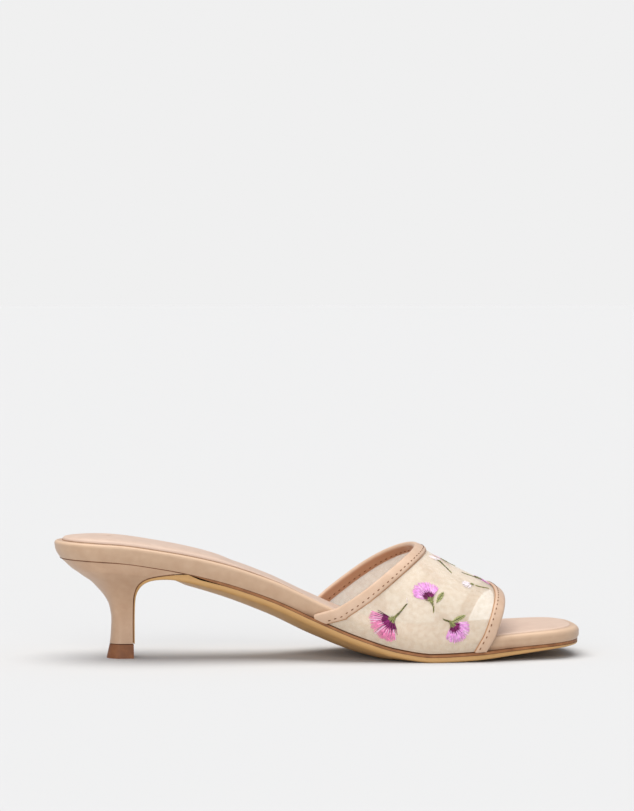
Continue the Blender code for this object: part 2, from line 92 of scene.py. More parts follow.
shoe = {
    "length": 0.245,
    "ballWidth": 0.083,
    "seatHeight": 0.0470,      # floor to the footbed's underside, at the back
    "instepHeight": 0.0519,    # floor to the vamp's ridge, at the collar
    "toeSpring": 0.0045,
    "gap": 0.0003,             # between pieces that touch
}
footbedSizes = {"thickness": 0.0080, "undercut": 0.0027, "rounding": 0.0018}
sockSizes = {"thickness": 0.0026, "edge": 0.0009, "inset": 0.0026}
soleSizes = {"edge": 0.0023, "midsole": 0.0010, "dome": 0.0052, "flap": 0.0008}
heelSizes = {
    "seatBack": 0.0029, "seatLength": 0.0555,
    "stemBack": 0.0256, "stemLength": 0.0104, "stemWidth": 0.0116,
    "topPiece": 0.0065, "splay": 0.0014,
    "roundShare": 0.55, "squareness": 2.2,
}
vampSizes = {"wall": 0.00085, "cloth": 0.0005, "binding": 0.0007,
             "collarWidth": 0.0058, "toeWidth": 0.0054}
steps = {"body": 100, "cap": 22, "around": 144, "skirt": 3 / 32, "lengthwise": 56}

stackHeight = soleSizes["edge"] + soleSizes["midsole"] + 2 * shoe["gap"]
vampReach = 3 * shoe["gap"] + vampSizes["binding"] + vampSizes["wall"]
seatFront = heelSizes["seatBack"] + heelSizes["seatLength"]
stemFront = heelSizes["stemBack"] + heelSizes["stemLength"]
heelFloor = heelSizes["topPiece"] + shoe["gap"]
heelCap, toeCap = 0.110 * shoe["length"], 0.098 * shoe["length"]
heelRound, toeRound = 2.1, 3.0
shoulderShare = 0.9
outer, inner = -1, 1


def table(columns, *rows):
    return {name: [row[i] for row in rows] for i, name in enumerate(columns.split())}


plan = table(
    "along  inner  outer",
    (0.000, 0.295, 0.301),
    (0.102, 0.319, 0.319),
    (0.204, 0.295, 0.313),
    (0.306, 0.253, 0.301),
    (0.388, 0.247, 0.307),
    (0.469, 0.301, 0.355),
    (0.551, 0.398, 0.416),
    (0.633, 0.476, 0.464),
    (0.702, 0.506, 0.494),
    (0.776, 0.494, 0.488),
    (0.857, 0.446, 0.446),
    (0.939, 0.404, 0.392),
    (1.000, 0.373, 0.343),
)
sideView = table(
    "along  pitch  spring  bed   tuck   round  pad   setIn  edge   dome   flat   lay",
    (0.000, 1.000, 0.000, 1.00, 1.00,  1.00,  0.85, 1.50,   1.00,  0.00,  0.00,  0.00),
    (0.100, 0.975, 0.000, 1.00, 1.00,  1.00,  0.92, 1.15,   1.00,  0.15,  0.00,  0.00),
    (0.200, 0.895, 0.000, 1.00, 1.00,  1.00,  0.90, 1.00,   1.00,  0.38,  0.00,  0.00),
    (0.300, 0.768, 0.000, 1.02, 0.95,  1.00,  0.62, 1.00,   1.00,  0.65,  0.00,  0.00),
    (0.400, 0.580, 0.000, 1.00, 0.85,  1.00,  0.60, 1.00,   1.00,  0.88,  0.00,  0.15),
    (0.480, 0.378, 0.000, 0.95, 0.72,  1.00,  0.55, 1.00,   1.00,  1.00,  0.10,  0.80),
    (0.560, 0.185, 0.000, 0.87, 0.60,  1.00,  0.60, 1.00,   1.00,  0.88,  0.30,  1.10),
    (0.640, 0.045, 0.000, 0.81, 0.52,  1.05,  0.65, 1.00,   1.00,  0.48,  0.55,  1.15),
    (0.700, 0.000, 0.000, 0.79, 0.48,  1.15,  0.65, 1.00,   1.00,  0.15,  0.70,  1.15),
    (0.780, 0.000, 0.170, 0.77, 0.44,  1.30,  0.60, 1.10,   0.95,  0.10,  0.75,  1.15),
    (0.860, 0.000, 0.510, 0.76, 0.40,  1.50,  0.52, 1.30,   0.78,  0.06,  0.75,  0.45),
    (0.930, 0.000, 0.770, 0.75, 0.38,  1.70,  0.45, 1.50,   0.52,  0.02,  0.70,  0.05),
    (1.000, 0.000, 1.000, 0.75, 0.37,  1.90,  0.45, 1.70,   0.32,  0.00,  0.60,  0.00),
)
ridge = table(
    "along  height  lean   square",
    (0.500, 1.390,  0.070, 1.95),
    (0.571, 1.250,  0.070, 1.95),
    (0.612, 1.160,  0.070, 2.00),
    (0.645, 1.085,  0.070, 2.05),
    (0.684, 1.000,  0.068, 2.10),
    (0.713, 0.930,  0.064, 2.20),
    (0.767, 0.785,  0.058, 2.35),
    (0.811, 0.680,  0.052, 2.50),
    (0.846, 0.582,  0.048, 2.60),
    (0.870, 0.515,  0.046, 2.65),
)
heelFlare = table(
    "along  back    front   sides  flap",
    (0.000, 0.000,  0.000,  0.02,  0.95),
    (0.078, -0.017, 0.000,  0.01,  0.95),
    (0.285, -0.035, 0.000,  0.00,  0.95),
    (0.454, 0.009,  0.000,  0.07,  1.00),
    (0.571, 0.114,  0.004,  0.20,  1.20),
    (0.668, 0.262,  0.028,  0.36,  1.70),
    (0.741, 0.389,  0.075,  0.52,  2.10),
    (0.798, 0.546,  0.145,  0.66,  2.20),
    (0.847, 0.668,  0.250,  0.78,  2.20),
    (0.882, 0.764,  0.370,  0.86,  2.25),
    (0.940, 0.880,  0.655,  0.94,  3.20),
    (1.000, 1.000,  1.000,  1.00,  5.60),
)
collarEdge = {"sole": 0.482, "shoulder": 0.518, "ridge": 0.692, "bows": {outer: 0.99, inner: 1.12}}
toeEdge = {"sole": 0.795, "shoulder": 0.808, "ridge": 0.845, "bows": {outer: 0.70, inner: 0.70}}


def curveThrough(rows, column):  # smooth, and never past its rows
    at, values = rows["along"], rows[column]
    gaps = [b - a for a, b in zip(at, at[1:])]
    rises = [(b - a) / gap for a, b, gap in zip(values, values[1:], gaps)]
    slopes = [rises[0]]
    for before, after in zip(rises, rises[1:]):
        turns = before * after <= 0
        slopes.append(0 if turns else 2 * before * after / (before + after))
    slopes.append(rises[-1])

    def follow(share):
        share = min(max(share, at[0]), at[-1])
        i = min(bisect_right(at, share), len(gaps)) - 1
        t = (share - at[i]) / gaps[i]
        held = values[i] * (1 + 2 * t) * (1 - t) ** 2 + values[i + 1] * t * t * (3 - 2 * t)
        bent = slopes[i] * t * (1 - t) ** 2 - slopes[i + 1] * t * t * (1 - t)
        return held + gaps[i] * bent

    return follow


planCurve = {outer: curveThrough(plan, "outer"), inner: curveThrough(plan, "inner")}
sideCurve = {name: curveThrough(sideView, name) for name in sideView}
ridgeCurve = {name: curveThrough(ridge, name) for name in ridge}
heelCurve = {name: curveThrough(heelFlare, name) for name in heelFlare}


def ofSide(name, x):
    return sideCurve[name](x / shoe["length"])


def mix(a, b, share):
    return a + (b - a) * share


def fade(value, low, high):
    t = min(max((value - low) / (high - low), 0), 1)
    return t * t * (3 - 2 * t)


def roundEnd(distance, length, roundness):
    short = min(max(0.0, 1 - distance / length), 1.0)
    return (1 - short ** roundness) ** (1 / roundness)


def halfWidth(x, side):
    width = shoe["ballWidth"] * planCurve[side](x / shoe["length"])
    return width * roundEnd(x, heelCap, heelRound) * roundEnd(shoe["length"] - x, toeCap, toeRound)


def widthOutside(x, side, reach):
    near = 0.002
    widening = (halfWidth(x + near, side) - halfWidth(x - near, side)) / (2 * near)
    return halfWidth(x, side) + reach * math.hypot(1, widening)


def bedUnderside(x):
    rise = (shoe["seatHeight"] - stackHeight) * ofSide("pitch", x)
    return stackHeight + rise + shoe["toeSpring"] * ofSide("spring", x)


def bedHeight(x):
    near = 0.002
    slope = (bedUnderside(x + near) - bedUnderside(x - near)) / (2 * near)
    return footbedSizes["thickness"] * ofSide("bed", x) * math.hypot(1, slope)


def bedTop(x):
    return bedUnderside(x) + bedHeight(x)


def undercut(x):
    return footbedSizes["undercut"] * ofSide("tuck", x)


def leanIn(x, rise):
    return undercut(x) * (1 - rise) ** 2


class Station:  # a line across the plan, with the way inward at each edge
    def __init__(self, x):
        near = 0.00001
        low, high = max(x - near, 0), min(x + near, shoe["length"])
        middle = min(max(x, heelCap), shoe["length"] - toeCap)
        self.x = x
        self.spine = Vector((middle, (halfWidth(middle, inner) - halfWidth(middle, outer)) / 2, 0))
        self.edge, self.inward = {}, {}
        for side in (outer, inner):
            self.edge[side] = Vector((x, side * halfWidth(x, side), 0))
            widening = (halfWidth(high, side) - halfWidth(low, side)) / (high - low)
            tip = halfWidth(x, side) < 0.000001
            way = self.spine - self.edge[side] if tip else Vector((widening, -side, 0))
            self.inward[side] = way.normalized()

    def at(self, side, inset, share=1.0):
        return self.spine.lerp(self.edge[side] + self.inward[side] * inset, share)


def stationsFrom(start=0.0):
    turns = [math.pi / 2 * i / steps["cap"] for i in range(steps["cap"])]
    heel = [heelCap * (1 - math.cos(turn) ** (2 / heelRound)) for turn in turns]
    toe = [shoe["length"] - toeCap * (1 - math.cos(turn) ** (2 / toeRound)) for turn in turns]
    bodyLength = shoe["length"] - toeCap - heelCap
    body = [heelCap + bodyLength * i / steps["body"] for i in range(steps["body"] + 1)]
    return [Station(x) for x in heel + body + toe[::-1] if x >= start]


stations = stationsFrom()


def raised(point, height):
    return Vector((point.x, point.y, height(point.x) if callable(height) else height))


# making meshes

def finishMesh(name, bm, smoothAngle=40):
    bmesh.ops.translate(bm, verts=bm.verts, vec=place)
    mesh = bpy.data.meshes.new(name)
    bm.to_mesh(mesh)
    bm.free()
    mesh.shade_smooth()
    mesh.set_sharp_from_angle(angle=math.radians(smoothAngle))
    piece = bpy.data.objects.new(name, mesh)
    bpy.context.scene.collection.objects.link(piece)
    return piece


def loft(name, loops, closedFirst=False, closedLast=False, smoothAngle=40):
    # each loop holds (point, rim) pairs: rim above zero marks a painted highlight on an edge, below
    # zero a painted shade, which the leather's clamped mix leaves out
    bm = bmesh.new()
    rimLayer = bm.verts.layers.float.new("rim")
    rings = []
    for loop in loops:
        ring = []
        for point, rim in loop:
            vert = bm.verts.new(point)
            vert[rimLayer] = rim
            ring.append(vert)
        rings.append(ring)
    count = len(rings[0])
    for ring, following in zip(rings, rings[1:]):
        for i in range(count):
            j = (i + 1) % count
            bm.faces.new((ring[i], ring[j], following[j], following[i]))
    for ring in rings[:1] * closedFirst + rings[-1:] * closedLast:
        for i in range(count // 2 - 1):
            bm.faces.new((ring[i], ring[i + 1], ring[count - 2 - i], ring[count - 1 - i]))
    bmesh.ops.remove_doubles(bm, verts=bm.verts, dist=0.000001)
    bmesh.ops.dissolve_degenerate(bm, edges=bm.edges, dist=0.000001)
    bmesh.ops.recalc_face_normals(bm, faces=bm.faces)
    return finishMesh(name, bm, smoothAngle)


def wholeLoop(half):
    return half(outer) + half(inner)[::-1]


def sheetShell(name, front, back, uvRows=None, smoothAngle=60):
    # a thin closed wall between two grids of points, with its rims closed
    bm = bmesh.new()
    uvLayer = bm.loops.layers.uv.new("weaveMap")
    uvOf = {}
    grids = []
    for rows in (front, back):
        grid = []
        for r, row in enumerate(rows):
            line = []
            for c, point in enumerate(row):
                vert = bm.verts.new(point)
                uvOf[vert] = uvRows[r][c] if uvRows else (c * 0.001, r * 0.001)
                line.append(vert)
            grid.append(line)
        grids.append(grid)
    a, b = grids
    rows, columns = len(a), len(a[0])
    for r in range(rows - 1):
        for c in range(columns - 1):
            bm.faces.new((a[r][c], a[r][c + 1], a[r + 1][c + 1], a[r + 1][c]))
            bm.faces.new((b[r][c], b[r + 1][c], b[r + 1][c + 1], b[r][c + 1]))
    for r in range(rows - 1):
        bm.faces.new((a[r][0], a[r + 1][0], b[r + 1][0], b[r][0]))
        bm.faces.new((a[r][-1], b[r][-1], b[r + 1][-1], a[r + 1][-1]))
    for c in range(columns - 1):
        bm.faces.new((a[0][c], b[0][c], b[0][c + 1], a[0][c + 1]))
        bm.faces.new((a[-1][c], a[-1][c + 1], b[-1][c + 1], b[-1][c]))
    for face in bm.faces:
        for corner in face.loops:
            corner[uvLayer].uv = uvOf[corner.vert]
    bmesh.ops.recalc_face_normals(bm, faces=bm.faces)
    return finishMesh(name, bm, smoothAngle)


# footbed: the wrapped platform whose side is the beige band

footbedLook = {
    "creaseDepth": 0.00035,   # where the wrap turns under the sock
    "sidePuff": 0.00022,      # padding under the wrap
}


def makeFootbed():
    def section(station):
        def half(side):
            height = bedHeight(station.x)
            points = [(raised(station.at(side, undercut(station.x), share), bedUnderside), 0)
                      for share in (0, 0.5, 0.9)]
            radius = footbedSizes["rounding"] * ofSide("round", station.x)
            straight = 1 - radius / height
            for share in (0, 0.04, 0.15, 0.3, 0.45, 0.6, 0.75, 0.9):
                rise = share * straight
                puff = footbedLook["sidePuff"] * math.sin(math.pi * share) ** 2
                spot = station.at(side, leanIn(station.x, rise) - puff * (share > 0))
                height2 = lambda x: bedUnderside(x) + bedHeight(x) * rise
                # painted shade at the band's foot: rim below zero, clamped off in the leather's mix so
                # the colour stays
                points.append((raised(spot, height2), -1 + fade(share, 0, 0.2)))
            for turn in (0, 15, 30, 45, 60, 75, 90):
                angle = math.radians(turn)
                drop = radius * (1 - math.sin(angle))
                inset = leanIn(station.x, 1 - drop / height) + radius * (1 - math.cos(angle))
                spot = station.at(side, inset)
                # painted highlight along the band's rounded top edge
                rimHighlight = math.sin(angle) * fade(95 - turn, 0, 40)
                points.append((raised(spot, lambda x: bedTop(x) - drop), rimHighlight))
            for share in (0.96, 0.9, 0.5, 0):
                points.append((raised(station.at(side, radius, share), bedTop), 0))
            return points
        return wholeLoop(half)

    return loft("footbedWrap", [section(station) for station in stations])


# sock: the thin padded insole on top

sockPadding = table(
    "along  full  edge",
    (0.000, 0.85, 1.00),
    (0.100, 0.94, 1.00),
    (0.200, 0.96, 1.00),
    (0.280, 0.90, 1.00),
    (0.315, 0.74, 0.95),
    (0.350, 0.36, 0.70),
    (0.400, 0.32, 0.60),
    (0.480, 0.34, 0.50),
    (0.560, 0.48, 0.50),
    (0.640, 0.60, 0.55),
    (0.780, 0.58, 0.60),
    (0.930, 0.45, 0.60),
    (1.000, 0.42, 0.60),
)
paddingCurve = {name: curveThrough(sockPadding, name) for name in sockPadding}


sockBlend = (0.36, 0.46)     # share of the length over which its cut edge goes soft


def cutEdge(x):
    return 1 - fade(x / shoe["length"], *sockBlend)


def sockFloor(x):
    return bedTop(x) + mix(-0.0002, shoe["gap"], cutEdge(x))


def sockInset(x):
    return sockSizes["inset"] * ofSide("setIn", x)


def makeSock():
    swell = ((0.0, 0.0, 0.25), (0.004, 0.0, 0.62), (0.011, 0.05, 0.9), (0.022, 0.14, 1.0),
             (0.05, 0.4, 1.0), (0.11, 0.62, 1.0), (0.2, 0.8, 1.0), (0.33, 0.93, 1.0),
             (0.5, 1.0, 1.0), (0.75, 1.0, 1.0), (1.0, 1.0, 1.0))

    def section(station):
        inset = sockInset(station.x)
        along = station.x / shoe["length"]
        full = sockSizes["thickness"] * paddingCurve["full"](along)
        thin = sockSizes["edge"] * paddingCurve["edge"](along)

        def half(side):
            points = [(raised(station.at(side, inset, share), sockFloor), 0)
                      for share in (0, 0.5, 0.96, 1)]
            for inside, fullness, edge in swell:
                thickness = mix(thin * edge, full, fullness)
                spot = station.at(side, inset, 1 - inside)
                # painted highlight: the sock's cut edge takes the leather's light tone
                rim = fade(1 - inside, 0.93, 1)
                points.append((raised(spot, lambda x: sockFloor(x) + thickness), rim))
            return points
        return wholeLoop(half)

    return loft("sockPad", [section(station) for station in stations])


# midsole and outsole

def soleInset(x):
    return undercut(x) - vampReach * ofSide("lay", x)


rampTop, rampFoot, midsoleFull = seatFront + 0.002, seatFront + 0.0075, seatFront + 0.016
sharedStart = seatFront + 0.011


def makeMidsole():
    def section(station):
        inset = soleInset(station.x)

        def half(side):
            taper = 0.08 + 0.92 * fade(station.x, rampTop, midsoleFull)
            below = shoe["gap"] + soleSizes["midsole"] * taper
            lower = [(raised(station.at(side, inset, share), lambda x: bedUnderside(x) - below), 0)
                     for share in (0, 0.5, 1)]
            upper = [(raised(station.at(side, inset, share),
                             lambda x: bedUnderside(x) - shoe["gap"]), 0)
                     for share in (1, 0.5, 0)]
            return lower + upper
        return wholeLoop(half)

    behind = [Station(mix(rampTop, sharedStart, share)) for share in (0.1, 0.35, 0.6, 0.8)]
    line = behind + stationsFrom(sharedStart)
    return loft("midsoleStrip", [section(station) for station in line], closedFirst=True)


def outsoleTop(x):
    ramp = min(max((x - rampTop) / (rampFoot - rampTop), 0), 1)
    return bedUnderside(x) - shoe["gap"] - (soleSizes["midsole"] + shoe["gap"]) * ramp


def outsoleBottom(x, reach):
    stack = stackHeight - soleSizes["edge"] * (1 - ofSide("edge", x))
    edge = bedUnderside(x) - stack
    middle = max(0, edge - soleSizes["dome"] * ofSide("dome", x))
    flat = ofSide("flat", x)
    rise = (max(0, reach - flat) / (1 - flat)) ** 2
    return max(0, mix(middle, edge, rise))


outsoleAcross = (0.93, 0.88, 0.81, 0.73, 0.64, 0.54, 0.43, 0.32, 0.21, 0.1, 0)
outsoleRound = {"arch": 0.0017, "ball": 0.0008, "steps": 6}


def heelX(level, share):
    back = mix(heelSizes["stemBack"], heelSizes["seatBack"], heelCurve["back"](level))
    front = mix(stemFront, seatFront, heelCurve["front"](level))
    return mix(back, front, share)


def heelZ(level, x):
    return mix(heelFloor, bedUnderside(x) - shoe["gap"], level)


def stemHalfWidth(share):
    return heelSizes["stemWidth"] / 2 * roundEnd(share, heelSizes["roundShare"],
                                                heelSizes["squareness"])


def heelHalfWidth(level, share, side):
    x = mix(heelSizes["seatBack"], seatFront, share)
    seat = shoe["ballWidth"] * planCurve[side](x / shoe["length"]) - undercut(x)
    seat *= roundEnd(x - heelSizes["seatBack"], heelCap, heelRound)
    return mix(stemHalfWidth(share), seat, heelCurve["sides"](level))


heelLevels = [i / 40 for i in range(32)] + [0.8 + i / 100 for i in range(21)]
heelRing = [1, 0.9, 0.8, 0.7, 0.6, 0.51, 0.42, 0.34, 0.27, 0.21, 0.16, 0.12, 0.085, 0.057,
            0.035, 0.019, 0.009, 0.0025, 0]


def flapLine(level):
    near = 0.004
    low, high = max(level - near, 0), min(level + near, 1)
    x = heelX(level, 1)
    alongX = heelX(high, 1) - heelX(low, 1)
    alongZ = heelZ(high, heelX(high, 1)) - heelZ(low, heelX(low, 1))
    return Vector((x, 0, heelZ(level, x))), Vector((alongZ, 0, -alongX)).normalized()


def makeOutsole():
    def soleSection(station):
        inset = soleInset(station.x)

        def half(side):
            points = [(raised(station.at(side, inset, share), outsoleTop), 0)
                      for share in (0, 0.5, 1)]
            radius = mix(outsoleRound["ball"], outsoleRound["arch"],
                         min(1, ofSide("dome", station.x) * 1.3))
            radius = min(radius, 0.8 * (outsoleTop(station.x) - outsoleBottom(station.x, 1)))
            reachOut = (station.at(side, inset) - station.spine).length
            for i in range(outsoleRound["steps"] + 1):
                angle = math.pi / 2 * i / outsoleRound["steps"]
                share = 1 - radius * (1 - math.cos(angle)) / reachOut
                lift = radius * (1 - math.sin(angle))
                spot = station.at(side, inset, share)
                # painted highlight: the outsole's edge takes the leather's light tone, fading round
                # its lower corner to the underside
                points.append((raised(spot, lambda x: outsoleBottom(x, share) + lift),
                               fade(1 - i / outsoleRound["steps"], 0, 1)))
            for share in outsoleAcross:
                spot = station.at(side, inset, share * (1 - radius / reachOut))
                bottom = share * (1 - radius / reachOut)
                points.append((raised(spot, lambda x: outsoleBottom(x, bottom)), 0))
            return points
        return wholeLoop(half)

    def flapSection(level):
        start, outward = flapLine(level)
        thickness = soleSizes["flap"] * heelCurve["flap"](level)

        def half(side):
            width = side * heelHalfWidth(level, 1, side)
            under = start + outward * shoe["gap"]
            points = [(under + Vector((0, width * share, 0)), 0) for share in (0, 0.5, 1)]
            rounds = outsoleRound["steps"]
            edge = [1 - 0.05 * (1 - math.cos(math.pi / 2 * i / rounds)) for i in range(rounds + 1)]
            lifts = [0.55 + 0.45 * math.sin(math.pi / 2 * i / rounds) for i in range(rounds + 1)]
            for share, lift in zip(edge + [0.95 * share for share in outsoleAcross],
                                   lifts + [1] * len(outsoleAcross)):
                over = under + outward * thickness * (1 - 0.25 * share ** 2) * lift
                # painted highlight: the flap's side edges take the leather's light tone
                points.append((over + Vector((0, width * share, 0)), fade(share, 0.93, 1)))
            return points
        return wholeLoop(half)

    line = [Station(rampTop), Station(rampFoot)] + stationsFrom(sharedStart)
    flap = [flapSection(level) for level in heelLevels if level < 0.975]
    return loft("outsoleLeather", flap + [soleSection(station) for station in line],
                closedFirst=True)


# heel and its top piece

def makeHeel():
    def ring(level):
        def half(side):
            points = []
            for share in heelRing:
                x = heelX(level, share)
                spot = Vector((x, side * heelHalfWidth(level, share, side), heelZ(level, x)))
                # painted highlight: the heel's front corners take the leather's light tone
                points.append((spot, fade(share, 0.9, 1)))
            return points
        return wholeLoop(half)

    return loft("heelWrap", [ring(level) for level in heelLevels], True, True)


def makeTopPiece():
    reach = soleSizes["flap"] / 2
    height = heelSizes["topPiece"]
    levels = ((0, 0.88), (0.0003, 1.0), (0.5, 0.5), (0.94, 0.06), (0.985, 0.0), (1.0, -0.12))

    def ring(level, splayShare):
        splay = heelSizes["splay"] * splayShare

        def half(side):
            points = []
            for share in heelRing:
                x = mix(heelSizes["stemBack"] - splay, stemFront + reach * min(1, 1 + splayShare),
                        share)
                swell = splay * roundEnd(share, heelSizes["roundShare"], 2)
                points.append((Vector((x, side * (stemHalfWidth(share) + swell),
                                       height * level)), 0))
            return points
        return wholeLoop(half)

    return loft("topPieceBlock", [ring(*level) for level in levels], True, True)


# vamp: the semi-sheer mesh upper

def vampPoint(x, around):  # around: 0 at the outer sole edge, 1 at the inner one
    share = x / shoe["length"]
    skirt = steps["skirt"]
    side = outer if around < 0.5 else inner
    fromSole = min(around, 1 - around)
    shoulder = bedHeight(x) * shoulderShare
    if fromSole <= skirt:
        rise = fromSole / skirt
        width = widthOutside(x, side, vampReach - leanIn(x, rise))
        return Vector((x, side * width, bedUnderside(x) + mix(shoe["gap"], shoulder, rise)))
    width = widthOutside(x, side, vampReach)
    turn = math.pi / 2 * (fromSole - skirt) / (0.5 - skirt)
    power = 2 / ridgeCurve["square"](share)
    lean = shoe["ballWidth"] * ridgeCurve["lean"](share)
    base = bedUnderside(x) + shoulder
    top = shoe["instepHeight"] * ridgeCurve["height"](share)
    y = lean + (side * width - lean) * max(0, math.cos(turn)) ** power
    return Vector((x, y, mix(base, top, math.sin(turn) ** power)))


def edgeX(edge, around):
    skirt = steps["skirt"]
    fromSole = min(around, 1 - around)
    if fromSole <= skirt:
        return shoe["length"] * mix(edge["sole"], edge["shoulder"], fromSole / skirt)
    turn = math.pi / 2 * (fromSole - skirt) / (0.5 - skirt)
    bow = edge["bows"][outer if around < 0.5 else inner]
    return shoe["length"] * mix(edge["shoulder"], edge["ridge"], math.sin(turn) ** bow)


def vampNormal(x, around):
    near = 0.004
    low, high = max(around - near, 0), min(around + near, 1)
    across = vampPoint(x, high) - vampPoint(x, low)
    along = vampPoint(x + 0.0005, around) - vampPoint(x - 0.0005, around)
    way = along.cross(across).normalized()
    middle = Vector((x, 0, bedUnderside(x)))
    return way if way.dot(vampPoint(x, around) - middle) > 0 else -way


# soft troughs and ridges in the cloth: from and to (share of the vamp's length between its
# edges, share round it), how wide (share of the length) and how deep in metres, + for a ridge
vampCreases = [
    {"from": (0.06, 0.10), "to": (0.42, 0.19), "width": 0.07, "depth": -0.00045},
    {"from": (0.10, 0.05), "to": (0.52, 0.09), "width": 0.06, "depth": 0.00035},
    {"from": (0.93, 0.07), "to": (0.60, 0.20), "width": 0.07, "depth": -0.0004},
    {"from": (0.95, 0.22), "to": (0.70, 0.34), "width": 0.06, "depth": 0.0003},
    {"from": (0.06, 0.90), "to": (0.42, 0.81), "width": 0.07, "depth": -0.00045},
    {"from": (0.93, 0.93), "to": (0.62, 0.80), "width": 0.07, "depth": -0.0004},
    {"from": (0.10, 0.42), "to": (0.45, 0.52), "width": 0.09, "depth": -0.0003},
]


def vampSink(lengthShare, around):
    total = 0.0
    for crease in vampCreases:
        a, b = Vector(crease["from"]), Vector(crease["to"])
        spot = Vector((lengthShare, around))
        t = min(max((spot - a).dot(b - a) / (b - a).length_squared, 0), 1)
        away = (spot - a.lerp(b, t)).length / crease["width"]
        total += crease["depth"] * math.exp(-away * away) * (0.35 + 0.65 * math.sin(math.pi * t))
    edges = fade(lengthShare, 0.08, 0.2) * fade(1 - lengthShare, 0.08, 0.2)
    hem = fade(min(around, 1 - around), 0.01, 0.08)
    return total * edges * hem


def makeVamp():
    front, back, uvRows = [], [], []
    count = steps["lengthwise"]
    for i in range(count + 1):
        share = i / count
        row, rowBack, rowUv = [], [], []
        arc = 0
        for step in range(steps["around"] + 1):
            around = step / steps["around"]
            x = mix(edgeX(collarEdge, around), edgeX(toeEdge, around), share)
            normal = vampNormal(x, around)
            spot = vampPoint(x, around) + normal * vampSink(share, around)
            if row:
                arc += (spot - row[-1]).length
            row.append(spot)
            rowBack.append(spot - normal * vampSizes["cloth"])
            rowUv.append((arc, x))
        front.append(row)
        back.append(rowBack)
        uvRows.append([(u - rowUv[len(rowUv) // 2][0], v) for u, v in rowUv])
    return sheetShell("vampMesh", front, back, uvRows)


# bindings: leather strips folded round the vamp's edges

bindingLook = {"edgeRound": 0.00022, "pucker": 0.00005}


def makeBinding(name, edge, inwardSign, width):
    wall = vampSizes["binding"]
    rim = vampSizes["wall"] / 2 + shoe["gap"] + wall / 2
    legWidth = width - rim - wall / 2
    front, back, uvRows = [], [], []
    count = 2 * steps["around"]
    length = 0
    before = None
    for step in range(count + 1):
        around = step / count
        x = edgeX(edge, around)
        low, high = max(around - 0.01, 0), min(around + 0.01, 1)
        along = (vampPoint(edgeX(edge, high), high) - vampPoint(edgeX(edge, low), low)).normalized()
        lengthwise = (vampPoint(x + 0.001 * inwardSign, around) - vampPoint(x, around)) / 0.001
        outward = lengthwise.cross(along).normalized()
        if outward.dot(vampPoint(x, around) - Vector((x, 0, bedUnderside(x)))) < 0:
            outward = -outward
        into = lengthwise - along * lengthwise.dot(along)
        reach = inwardSign * legWidth / into.length
        into = into.normalized()
        middleLine = []      # (centre, direction of the wall's outer face, half thickness)
        for share in (1.0, 0.985, 0.95, 0.85, 0.7, 0.5, 0.3, 0.15, 0.0):
            half = wall / 2 * (1 - 0.8 * fade(share, 0.93, 1.0))
            puff = 0.00012 * math.sin(math.pi * share)
            spot = vampPoint(x + reach * share, around)
            middleLine.append((spot + outward * (shoe["gap"] + half + puff), outward, half))
        centre = vampPoint(x, around) - outward * vampSizes["wall"] / 2
        for turn in (15, 30, 45, 60, 75, 90, 105, 120, 135, 150, 165):
            angle = math.radians(turn)
            way = outward * math.cos(angle) - into * math.sin(angle)
            middleLine.append((centre + way * rim, way, wall / 2))
        for share in (0.0, 0.25, 0.5, 0.75, 0.95, 0.985, 1.0):
            half = wall / 2 * (1 - 0.8 * fade(share, 0.93, 1.0))
            spot = vampPoint(x + reach * share, around)
            depth = vampSizes["wall"] + shoe["gap"] + half
            middleLine.append((spot - outward * depth, -outward, half))
        if before is not None:
            length += (centre - before).length
        before = centre
        front.append([spot + way * half for spot, way, half in middleLine])
        back.append([spot - way * half for spot, way, half in middleLine])
        uvRows.append([(length, i / (len(middleLine) - 1)) for i in range(len(middleLine))])
    return sheetShell(name, front, back, uvRows)


# what repeats, by Geometry Nodes: sewn threads along lines, and stitches set at a pitch

def threadTree():
    tree = bpy.data.node_groups.new("sewnThreads", "GeometryNodeTree")
    for label, kind in (("Geometry", "NodeSocketGeometry"), ("Thread Radius", "NodeSocketFloat"),
                        ("Sides", "NodeSocketInt"), ("Finish", "NodeSocketMaterial")):
        tree.interface.new_socket(label, in_out="INPUT", socket_type=kind)
    tree.interface.new_socket("Geometry", in_out="OUTPUT", socket_type="NodeSocketGeometry")
    nodes, links = tree.nodes, tree.links
    given, out = nodes.new("NodeGroupInput"), nodes.new("NodeGroupOutput")
    girth = nodes.new("GeometryNodeInputNamedAttribute")
    girth.data_type = "FLOAT"
    girth.inputs["Name"].default_value = "girth"
    curves = nodes.new("GeometryNodeMeshToCurve")
    radius = nodes.new("GeometryNodeSetCurveRadius")
    profile = nodes.new("GeometryNodeCurvePrimitiveCircle")
    tube = nodes.new("GeometryNodeCurveToMesh")
    tube.inputs["Fill Caps"].default_value = True
    smooth = nodes.new("GeometryNodeSetShadeSmooth")
    real = nodes.new("GeometryNodeRealizeInstances")
    finish = nodes.new("GeometryNodeSetMaterial")
    links.new(given.outputs["Geometry"], curves.inputs["Mesh"])
    links.new(curves.outputs["Curve"], radius.inputs["Curve"])
    links.new(girth.outputs["Attribute"], radius.inputs["Radius"])
    links.new(given.outputs["Sides"], profile.inputs["Resolution"])
    links.new(given.outputs["Thread Radius"], profile.inputs["Radius"])
    links.new(radius.outputs["Curve"], tube.inputs["Curve"])
    links.new(profile.outputs["Curve"], tube.inputs["Profile Curve"])
    if "Scale" in tube.inputs:
        links.new(girth.outputs["Attribute"], tube.inputs["Scale"])
    links.new(tube.outputs["Mesh"], smooth.inputs["Geometry"])
    links.new(smooth.outputs["Geometry"], real.inputs["Geometry"])
    links.new(real.outputs["Geometry"], finish.inputs["Geometry"])
    links.new(given.outputs["Finish"], finish.inputs["Material"])
    links.new(finish.outputs["Geometry"], out.inputs["Geometry"])
    return tree


